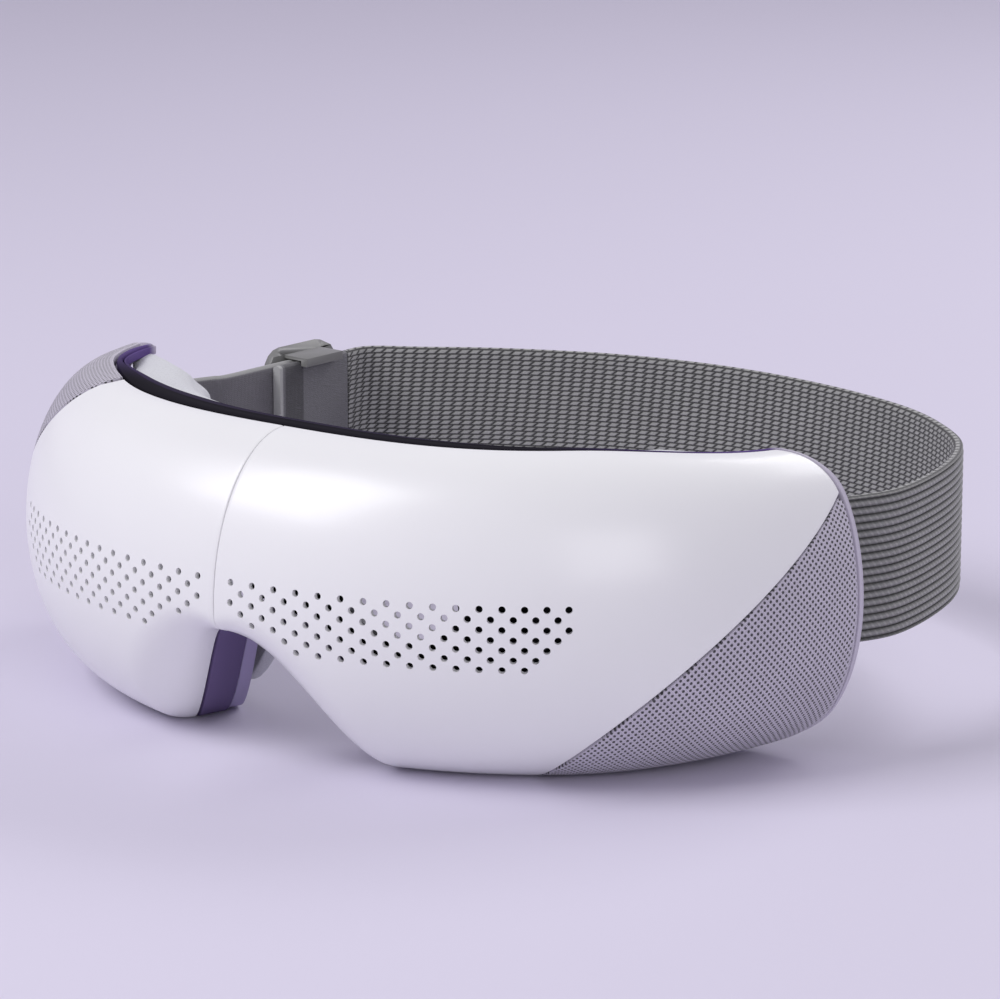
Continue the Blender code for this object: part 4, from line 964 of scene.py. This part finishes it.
def make_covers():
    knit = knit_finish("lilac_knit", colours().knit, sizes().knit_pitch / MM)
    for side, name in SIDES.items():

        def flat(share, across):
            s, phi = cover_angles(side, share, across)
            return s, KNIT_ARC * phi + KNIT_ARC_SWING * math.sin(2 * phi)

        piece = grid_piece(
            f"temple_knit_{name}", *COVER_GRID, lambda a, b: skin(*cover_angles(side, a, b)), flat,
            {"turned_edge": lambda a, b: smooth_step((b - KNIT_HEM_START) / KNIT_HEM_FADE)})
        apply_step(piece, "SOLIDIFY", thickness=SHELL_WALL * MM, offset=-1.0)
        if side < 0:
            close_up(piece)
        round_edges(piece, 2 * sizes().edge_radius)
        dress(to_side(smooth(piece, 60), side), knit, "mask", [f"temple_cover_{name}"])


def rim_piece(name, start, band, wall, inset, thinned, steps=48):
    """Swept band behind the rim with rounded corners, mirrored across the seam.

    Its top leans inwards; a thinned band leans only with its outer side.
    """
    stations = rim_loop(steps)
    last = len(stations) - 1

    def spot(along, around):
        (s, t, z), (back_s, back_t), inward = stations[round(along * last)]
        front = start(s, z) + RIM_GAP * (1 / max(back_s, back_t) ** 3 - 1)
        width = band(s, z)
        r = min(RIM_ROUNDING, RIM_ROUNDING_SHARE * width)
        nip = RIM_NIP * r
        profile = (
            (r, 0.0), (width / 2, 0.0), (width - r, 0.0), (width - nip, nip), (width, r),
            (width, wall - r), (width - nip, wall - nip), (width - r, wall),
            (r, wall), (nip, wall - nip), (0.0, wall - r), (0.0, r), (nip, nip))
        reach, deep = profile[round(around * len(profile)) % len(profile)]
        lean = RIM_SLOPE * max(-inward[2], 0.0) * max(front + reach - RIM_GAP, 0.0)
        move, reach = inset + deep + lean * (1 - deep / wall if thinned else 1.0), front + reach
        ps = 0.0 if s == 0.0 else max(s + back_s * reach + inward[0] * move, 0.0)
        return place(ps, t + back_t * reach + inward[1] * move, z + inward[2] * move)

    piece = grid_piece(name, last, 13, spot)
    apply_step(piece, "MIRROR", use_clip=True, merge_threshold=0.05 * MM)
    return close_up(piece)


def underside_cutter(side, size):
    """Rounded slot through the frame's underside."""
    depth, drop = half_section(UNDERSIDE_S, False)
    at = place(UNDERSIDE_S, depth + RIM_GAP + GAP + SOCKET_SIZE[1] / 2, RIDGE_Z - drop)
    nx, ny = ridge(UNDERSIDE_S)[2:]
    bpy.ops.object.select_all(action="DESELECT")
    bpy.ops.mesh.primitive_cube_add(size=1.0)
    slot = name_piece("underside_slot")
    length, width = ((extent + 2 * GAP) * MM for extent in size)
    slot.data.transform(Matrix.Diagonal((length, width, 4 * FRAME_WALL * MM, 1.0)))
    turn = Matrix.Rotation(side * math.atan2(nx, -ny), 4, "Z")
    slot.data.transform(Matrix.Translation(Vector((side * at.x, at.y, at.z)) * MM) @ turn)
    return slot


def make_rims():
    # Both rims get a painted violet reflection in the arch and at the temple
    black = rim_finish("piano_black", colours().black, FRAME_ARCH_REFLECTION)
    bezel_finish = rim_finish("bezel_painted_reflection", colours().bezel, BEZEL_ARCH_REFLECTION)
    ring = rim_piece("frame_ring", lambda s, z: RIM_GAP, band_at, FRAME_WALL, 0.0, True)
    for side, size in ((-1, BUTTON_SIZE), (1, SOCKET_SIZE)):
        cut(ring, underside_cutter(side, size))
    dress(smooth(ring, 40), black, "mask", ["rear_frame"])
    ring = rim_piece("bezel_ring", lambda s, z: RIM_GAP + band_at(s, z) + GAP, bezel_band_at,
                     BEZEL_WALL, BEZEL_STEP, False)
    dress(smooth(ring, 40), bezel_finish, "mask", ["cushion_bezel"])


def cushion_profile(steps=16):
    """Section of a cushion, by share across and lift: a flat foot, drawn-in sides and a crowned top."""
    inset, width = CUSHION_FOOT_INSET, 1 - 2 * CUSHION_FOOT_INSET
    foot = [(inset + width * k / steps, 0.0) for k in range(steps, -1, -2)]
    top = []
    for k in range(2 * steps + 1):
        across = k / (2 * steps)
        swell = 1 - abs(2 * across - 1) ** CUSHION_SWELL_POWER
        top.append((across, CUSHION_SIDE_LIFT + (1 - CUSHION_SIDE_LIFT) * swell))
    return foot + top


def make_cushions():
    leather = leather_finish("cushion_leather", colours().leather)
    profile = cushion_profile()
    base = CUSHION_SETBACK - PLATE_SETBACK
    seam = sizes().seam_depth / MM

    def spot(around, across):
        angle = 2 * math.pi * around
        inner, outer = eye_ring(round(angle, 6))
        reach = (1 + math.cos(angle)) / 2
        crown = CUSHION_NOSE_CROWN + (CUSHION_TEMPLE_CROWN - CUSHION_NOSE_CROWN) * reach
        share, lift = profile[round(across * len(profile)) % len(profile)]
        s, z = inner.lerp(outer, share)
        back = smooth_step((s - CUSHION_SKIRT_S) / CUSHION_SKIRT_FADE_S)
        up = smooth_step((z - CUSHION_SKIRT_Z) / CUSHION_SKIRT_FADE_Z)
        face = plate_depth(s, z) + base - CUSHION_SKIRT * back
        foot = face + (rim_end(s, z) + GAP - face) * up
        t = foot + (face + crown - foot) * lift
        if lift > 0:
            edge = min(share, 1 - share)
            t -= seam * math.exp(-((edge - CUSHION_SEAM_AT) / CUSHION_SEAM_SPREAD) ** 2)
        return place(s, t, z)

    right = grid_piece("cushion_pad_right", CUSHION_COLUMNS, len(profile), spot)
    close_up(right)
    apply_step(right, "SUBSURF", levels=1, render_levels=1)
    smooth(right, 70)
    left = twin(right, "cushion_pad_left")
    for piece, side in ((right, "right"), (left, "left")):
        dress(piece, leather, "mask", [f"face_cushion_{side}"])


def band_piece(name, line, profile, marks):
    """Band swept along a plan line; the profile gives outward offset and height."""
    last, count = len(line) - 1, len(profile)
    run = [0.0]
    for start, end in zip(line, line[1:]):
        run.append(run[-1] + (end - start).length)

    def corner(around):
        return profile[round(around * count) % count]

    def spot(along, around):
        i = round(along * last)
        ahead = (line[min(i + 1, last)] - line[max(i - 1, 0)]).normalized()
        offset, z = corner(around)
        at = line[i] + Vector((ahead.y, -ahead.x)) * offset
        return Vector((at.x, at.y, z))

    def flat(along, around):
        return run[round(along * last)], corner(around)[1]

    marked = {mark: lambda a, b, value=value: value(a, corner(b)) for mark, value in marks.items()}
    return close_up(grid_piece(name, last, count, spot, flat, marked), fill=True)


def band_profile(outside, edge, steps):
    """Closed section of a band, by outward offset and height, from the points of its outer side.

    Its top and its foot are rounded, and its inner side is plain.
    """
    half = STRAP_WALL / 2
    low, high = STRAP_BOTTOM_Z + edge, STRAP_BOTTOM_Z + STRAP_HEIGHT - edge
    top = [(half * math.cos(a), high + edge * math.sin(a)) for a in EDGE_ANGLES]
    inside = [(-half, high - (high - low) * k / steps) for k in range(steps + 1)]
    foot = [(-half * math.cos(a), low - edge * math.sin(a)) for a in EDGE_ANGLES]
    return outside + top + inside + foot


def ribbed_side(ribs, depth):
    """Outer side of the mesh strap, with grooves between its ribs."""
    half, rows = STRAP_WALL / 2, 6 * ribs
    side = []
    for k in range(rows + 1):
        z = STRAP_BOTTOM_Z + STRAP_EDGE + (STRAP_HEIGHT - 2 * STRAP_EDGE) * k / rows
        rib = abs(math.sin(math.pi * ribs * k / rows)) ** RIB_POWER
        side.append((half - depth * (1 - rib), z))
    return side


def plain_side(steps):
    """Flat outer side of a plain band."""
    low, rise = STRAP_BOTTOM_Z + BAND_EDGE, STRAP_HEIGHT - 2 * BAND_EDGE
    return [(STRAP_WALL / 2, low + rise * k / steps) for k in range(steps + 1)]


def make_strap():
    half, depth = STRAP_WALL / 2, sizes().rib_depth / MM
    profile = band_profile(ribbed_side(sizes().rib_count, depth), STRAP_EDGE, 20)
    route = [route_point(1, spot) for spot in RIGHT_ROUTE] + [route_point(-1, spot) for spot in LEFT_ROUTE]
    route += [run_point(run_length() + RUN_LEAD), run_point(run_length())]
    marks = {
        "outside": lambda a, p: 1.0 if p[0] > 0.15 * half else 0.0,
        "groove": lambda a, p: min(max((half - p[0]) / depth, 0.0), 1.0) if p[0] > 0.3 * half else 0.0,
    }
    strap = band_piece("strap_mesh", spline(route, STRAP_STEPS), profile, marks)
    webbing = webbing_finish("grey_webbing", colours().webbing)
    dress(smooth(strap, 60), webbing, "mask", ["strap_mesh_band"])


def make_side_band():
    low, high = STRAP_BOTTOM_Z + BAND_HEM, STRAP_BOTTOM_Z + STRAP_HEIGHT - BAND_HEM
    profile = band_profile(plain_side(16), BAND_EDGE, 16)
    route = [route_point(-1, spot) for spot in SIDE_ROUTE]
    route += [run_point(LEFT_BAND_LENGTH * k / 4, -STRAP_WALL - GAP) for k in range(1, 5)]
    marks = {"hem": lambda a, p: 0.0 if low <= p[1] <= high else 1.0}
    side = band_piece("side_band_cloth", spline(route, SIDE_BAND_STEPS), profile, marks)
    woven = band_finish("dark_webbing", colours().band, (0.30, 0.30, 0.30))
    dress(smooth(side, 60), woven, "mask", ["strap_side_band"])
    tab_back = run_length() - GAP
    line = [run_point(tab_back - TAB_LENGTH * k / TAB_STEPS) for k in range(TAB_STEPS + 1)]
    marks = {
        "hem": lambda a, p: 1.0 if a > TAB_HEM_START else 0.0,
        "strip": lambda a, p: 1.0 if TAB_STRIP[0] < a < TAB_STRIP[1] else 0.0,
    }
    tab = band_piece("end_tab_rubber", line, profile, marks)
    ridged = band_finish("tab_rubber", (0.15, 0.148, 0.160), (0.42, 0.42, 0.42))
    dress(smooth(tab, 60), ridged, "mask", ["strap_end_tab"])


def make_slider():
    """Slider, with the lips of its inner leg lowered."""
    grey = moulded("slider_grey", (0.20, 0.20, 0.195), 0.42)
    slider = cad_copy("strap_slider", "slider_buckle")
    top, bottom = STRAP_BOTTOM_Z + STRAP_HEIGHT + GAP, STRAP_BOTTOM_Z - GAP
    inner_side = run_point(SLIDER_AT, -STRAP_WALL - GAP).x
    for vertex in slider.data.vertices:
        x, _, z = vertex.co / MM
        if x > inner_side - SLIDER_INNER_REACH and not bottom - SNAP < z < top + SNAP:
            vertex.co.z = min(max(z, bottom - SLIDER_LIP), top + SLIDER_LIP) * MM
    round_edges(slider, 0.00025, 40)
    dress(smooth(slider, 40), grey, "slider", ["strap_slider"])


def make_controls():
    """Power button and charging socket, lowered with the temple's foot."""
    grey = moulded("button_grey", (0.22, 0.22, 0.23), 0.4)
    lower = Matrix.Translation((0.0, 0.0, -TEMPLE_EXTRA_DROP * temple_fall(UNDERSIDE_S) * MM))
    button = cad_copy("power_button", "button_cap")
    button.data.transform(lower)
    round_edges(button, 0.00025, 30)
    dress(smooth(button, 40), grey, "button", ["power_button"])
    steel = brushed_finish("socket_steel", STEEL, 0.3)
    socket = cad_copy("charge_socket", "socket_shell")
    socket.data.transform(lower)
    round_edges(socket, 0.00012, 40)
    dress(smooth(socket, 40), steel, "mask", ["charge_socket"])


def make_plate():
    """Inner plate, lifted clear of the frame round the arch and lowered behind the cushions' skirts."""
    dark = moulded("plate_grey", WORKS_DARK, 0.6, Specular_IOR_Level=0.1)
    plate = cad_copy("inner_plate", "works_plate")
    for vertex in plate.data.vertices:
        x, y, z = vertex.co / MM
        s = RIDGE_S[np.argmin(np.hypot(RIDGE_X - abs(x), RIDGE_Y - y))]
        if s < NOTCH_HALF_WIDTH:
            vertex.co.z = max(z, notch_z(s) + FRAME_WALL + BEZEL_WALL) * MM
        elif s > PLATE_TRIM_S:
            vertex.co.z = min(z, CUSHION_SKIRT_Z - GAP) * MM
    dress(smooth(plate, 40), dark, "mask", ["inner_plate"])


def make_works():
    """Finishes of the pieces behind the shells, which keep their own solids."""
    dark = moulded("inner_grey", WORKS_DARK, 0.6, Specular_IOR_Level=0.1)
    rubber = moulded("bladder_rubber", (0.05, 0.05, 0.05), 0.6, Specular_IOR_Level=0.2)
    film = moulded("amber_film", (0.55, 0.30, 0.10), 0.4)
    cell = moulded("cell_wrap", (0.016, 0.017, 0.020), 0.5)
    board = moulded("board_mask", (0.008, 0.030, 0.016), 0.5)
    steel = brushed_finish("works_steel", STEEL, 0.3)
    finishes = {
        "strap_anchor": dark, "power_switch": dark, "pump_head": dark,
        "airbag": rubber, "air_tube": rubber, "air_tee": rubber, "heating_film": film, "battery": cell,
        "main_board": board, "eccentric_weight": steel, "plate_screw": steel, "pump_motor": steel,
        "release_valve": steel, "vibration_motor": steel,
    }
    for name, node in NODES.items():
        for start, finish in finishes.items():
            if name.startswith(start):
                node.data.materials.clear()
                node.data.materials.append(finish)


def floor_finish(colour):
    """Pale matt floor with a barely uneven tone."""
    finish, tree, shader = new_finish("pale_floor", 0.7)
    tone = blend(tree, object_noise(tree, 3.0), shade(colour, 0.99), shade(colour, 1.01))
    tree.links.new(tone, shader.inputs["Base Color"])
    return finish


def add_lamp(name, at, aim, size, power):
    lamp = bpy.data.lights.new(name, "AREA")
    lamp.shape = "RECTANGLE"
    lamp.size, lamp.size_y = size
    lamp.energy = power
    item = bpy.data.objects.new(name, lamp)
    bpy.context.scene.collection.objects.link(item)
    item.location = at
    item.rotation_euler = (Vector(aim) - Vector(at)).to_track_quat("-Z", "Y").to_euler()


def add_world(floor_colour):
    """Soft light all round, which looks like the floor where it is seen directly or mirrored."""
    world = bpy.data.worlds.new("studio")
    bpy.context.scene.world = world
    world.use_nodes = True
    tree = world.node_tree
    back = tree.nodes["Background"]
    rays = add(tree, "ShaderNodeLightPath")
    plain = maths(tree, "MAXIMUM", rays.outputs["Is Camera Ray"], rays.outputs["Is Transmission Ray"])
    plain = maths(tree, "MAXIMUM", plain, rays.outputs["Is Glossy Ray"])
    tree.links.new(blend(tree, plain, WORLD_COLOUR, shade(floor_colour, 1.0)), back.inputs["Color"])
    tree.links.new(spread(tree, plain, WORLD_STRENGTH, 1.0), back.inputs["Strength"])


def add_camera():
    """Camera at the photograph's viewing angle."""
    lens = bpy.data.cameras.new("camera")
    lens.lens, lens.sensor_width = CAMERA_LENS, CAMERA_SENSOR
    lens.clip_start, lens.clip_end = CAMERA_CLIP
    camera = bpy.data.objects.new("camera", lens)
    bpy.context.scene.collection.objects.link(camera)
    camera.location = Vector(CAMERA_AT) * MM
    camera.rotation_euler = Vector(CAMERA_AIM).to_track_quat("-Z", "Y").to_euler()
    bpy.context.scene.camera = camera


def make_stage():
    settings = bpy.context.scene.mask_stage
    bpy.ops.object.select_all(action="DESELECT")
    bpy.ops.mesh.primitive_plane_add(size=FLOOR_SIZE, location=(0.0, 0.0, 0.0))
    floor = name_piece("floor")
    floor.data.materials.append(floor_finish(settings.floor))
    add_world(settings.floor)
    for name, at, aim, size, share in LAMPS:
        add_lamp(name, at, aim, size, share * settings.key_power)
    add_camera()
    bpy.context.scene.view_settings.view_transform = "Standard"


class EYEMASK_OT_front_shells(bpy.types.Operator):
    """Perforated white front shells"""

    bl_idname = "eyemask.front_shells"
    bl_label = "Front shells"

    def execute(self, context):
        make_shells()
        return {"FINISHED"}


class EYEMASK_OT_temple_covers(bpy.types.Operator):
    """Knitted covers of the two temples"""

    bl_idname = "eyemask.temple_covers"
    bl_label = "Temple covers"

    def execute(self, context):
        make_covers()
        return {"FINISHED"}


class EYEMASK_OT_rims(bpy.types.Operator):
    """Black rear frame and the bezel behind it"""

    bl_idname = "eyemask.rims"
    bl_label = "Frame and bezel"

    def execute(self, context):
        make_rims()
        return {"FINISHED"}


class EYEMASK_OT_cushions(bpy.types.Operator):
    """Leather cushions round the eye openings"""

    bl_idname = "eyemask.cushions"
    bl_label = "Face cushions"

    def execute(self, context):
        make_cushions()
        return {"FINISHED"}


class EYEMASK_OT_strap(bpy.types.Operator):
    """Ribbed mesh strap round the back of the head"""

    bl_idname = "eyemask.strap"
    bl_label = "Mesh strap"

    def execute(self, context):
        make_strap()
        return {"FINISHED"}


class EYEMASK_OT_side_band(bpy.types.Operator):
    """Dark side band and the end tab of the strap"""

    bl_idname = "eyemask.side_band"
    bl_label = "Side band and tab"

    def execute(self, context):
        make_side_band()
        return {"FINISHED"}


class EYEMASK_OT_slider(bpy.types.Operator):
    """Slider that sets the strap's length"""

    bl_idname = "eyemask.slider"
    bl_label = "Strap slider"

    def execute(self, context):
        make_slider()
        return {"FINISHED"}


class EYEMASK_OT_controls(bpy.types.Operator):
    """Power button and charging socket"""

    bl_idname = "eyemask.controls"
    bl_label = "Button and socket"

    def execute(self, context):
        make_controls()
        return {"FINISHED"}


class EYEMASK_OT_works(bpy.types.Operator):
    """Inner plate, and the finishes of the works behind the shells"""

    bl_idname = "eyemask.works"
    bl_label = "Inner works"

    def execute(self, context):
        make_plate()
        make_works()
        return {"FINISHED"}


class EYEMASK_OT_stage(bpy.types.Operator):
    """Floor, lamps and camera"""

    bl_idname = "eyemask.stage"
    bl_label = "Stage"

    def execute(self, context):
        make_stage()
        return {"FINISHED"}


OPERATORS = (
    EYEMASK_OT_front_shells, EYEMASK_OT_temple_covers, EYEMASK_OT_rims, EYEMASK_OT_cushions,
    EYEMASK_OT_strap, EYEMASK_OT_side_band, EYEMASK_OT_slider, EYEMASK_OT_controls, EYEMASK_OT_works,
    EYEMASK_OT_stage,
)


class EYEMASK_PT_panel(bpy.types.Panel):
    """Lists the pieces of the mask"""

    bl_label = "Eye massager mask"
    bl_idname = "EYEMASK_PT_panel"
    bl_space_type = "VIEW_3D"
    bl_region_type = "UI"
    bl_category = "Mask"

    def draw(self, context):
        for group in (context.scene.mask_sizes, context.scene.mask_colours, context.scene.mask_stage):
            for key in group.__annotations__:
                self.layout.prop(group, key)
        for operator in OPERATORS:
            self.layout.operator(operator.bl_idname)


GROUPS = {"mask_sizes": MaskSizes, "mask_colours": MaskColours, "mask_stage": MaskStage}
CLASSES = (*GROUPS.values(), *OPERATORS, EYEMASK_PT_panel)


def register():
    for item in CLASSES:
        bpy.utils.register_class(item)
    for name, group in GROUPS.items():
        setattr(bpy.types.Scene, name, PointerProperty(type=group))


def unregister():
    for name in GROUPS:
        delattr(bpy.types.Scene, name)
    for item in reversed(CLASSES):
        bpy.utils.unregister_class(item)


def main():
    register()
    bpy.ops.eyemask.front_shells()
    bpy.ops.eyemask.temple_covers()
    bpy.ops.eyemask.rims()
    bpy.ops.eyemask.cushions()
    bpy.ops.eyemask.strap()
    bpy.ops.eyemask.side_band()
    bpy.ops.eyemask.slider()
    bpy.ops.eyemask.controls()
    bpy.ops.eyemask.works()
    bpy.ops.eyemask.stage()


if __name__ == "__main__":
    main()
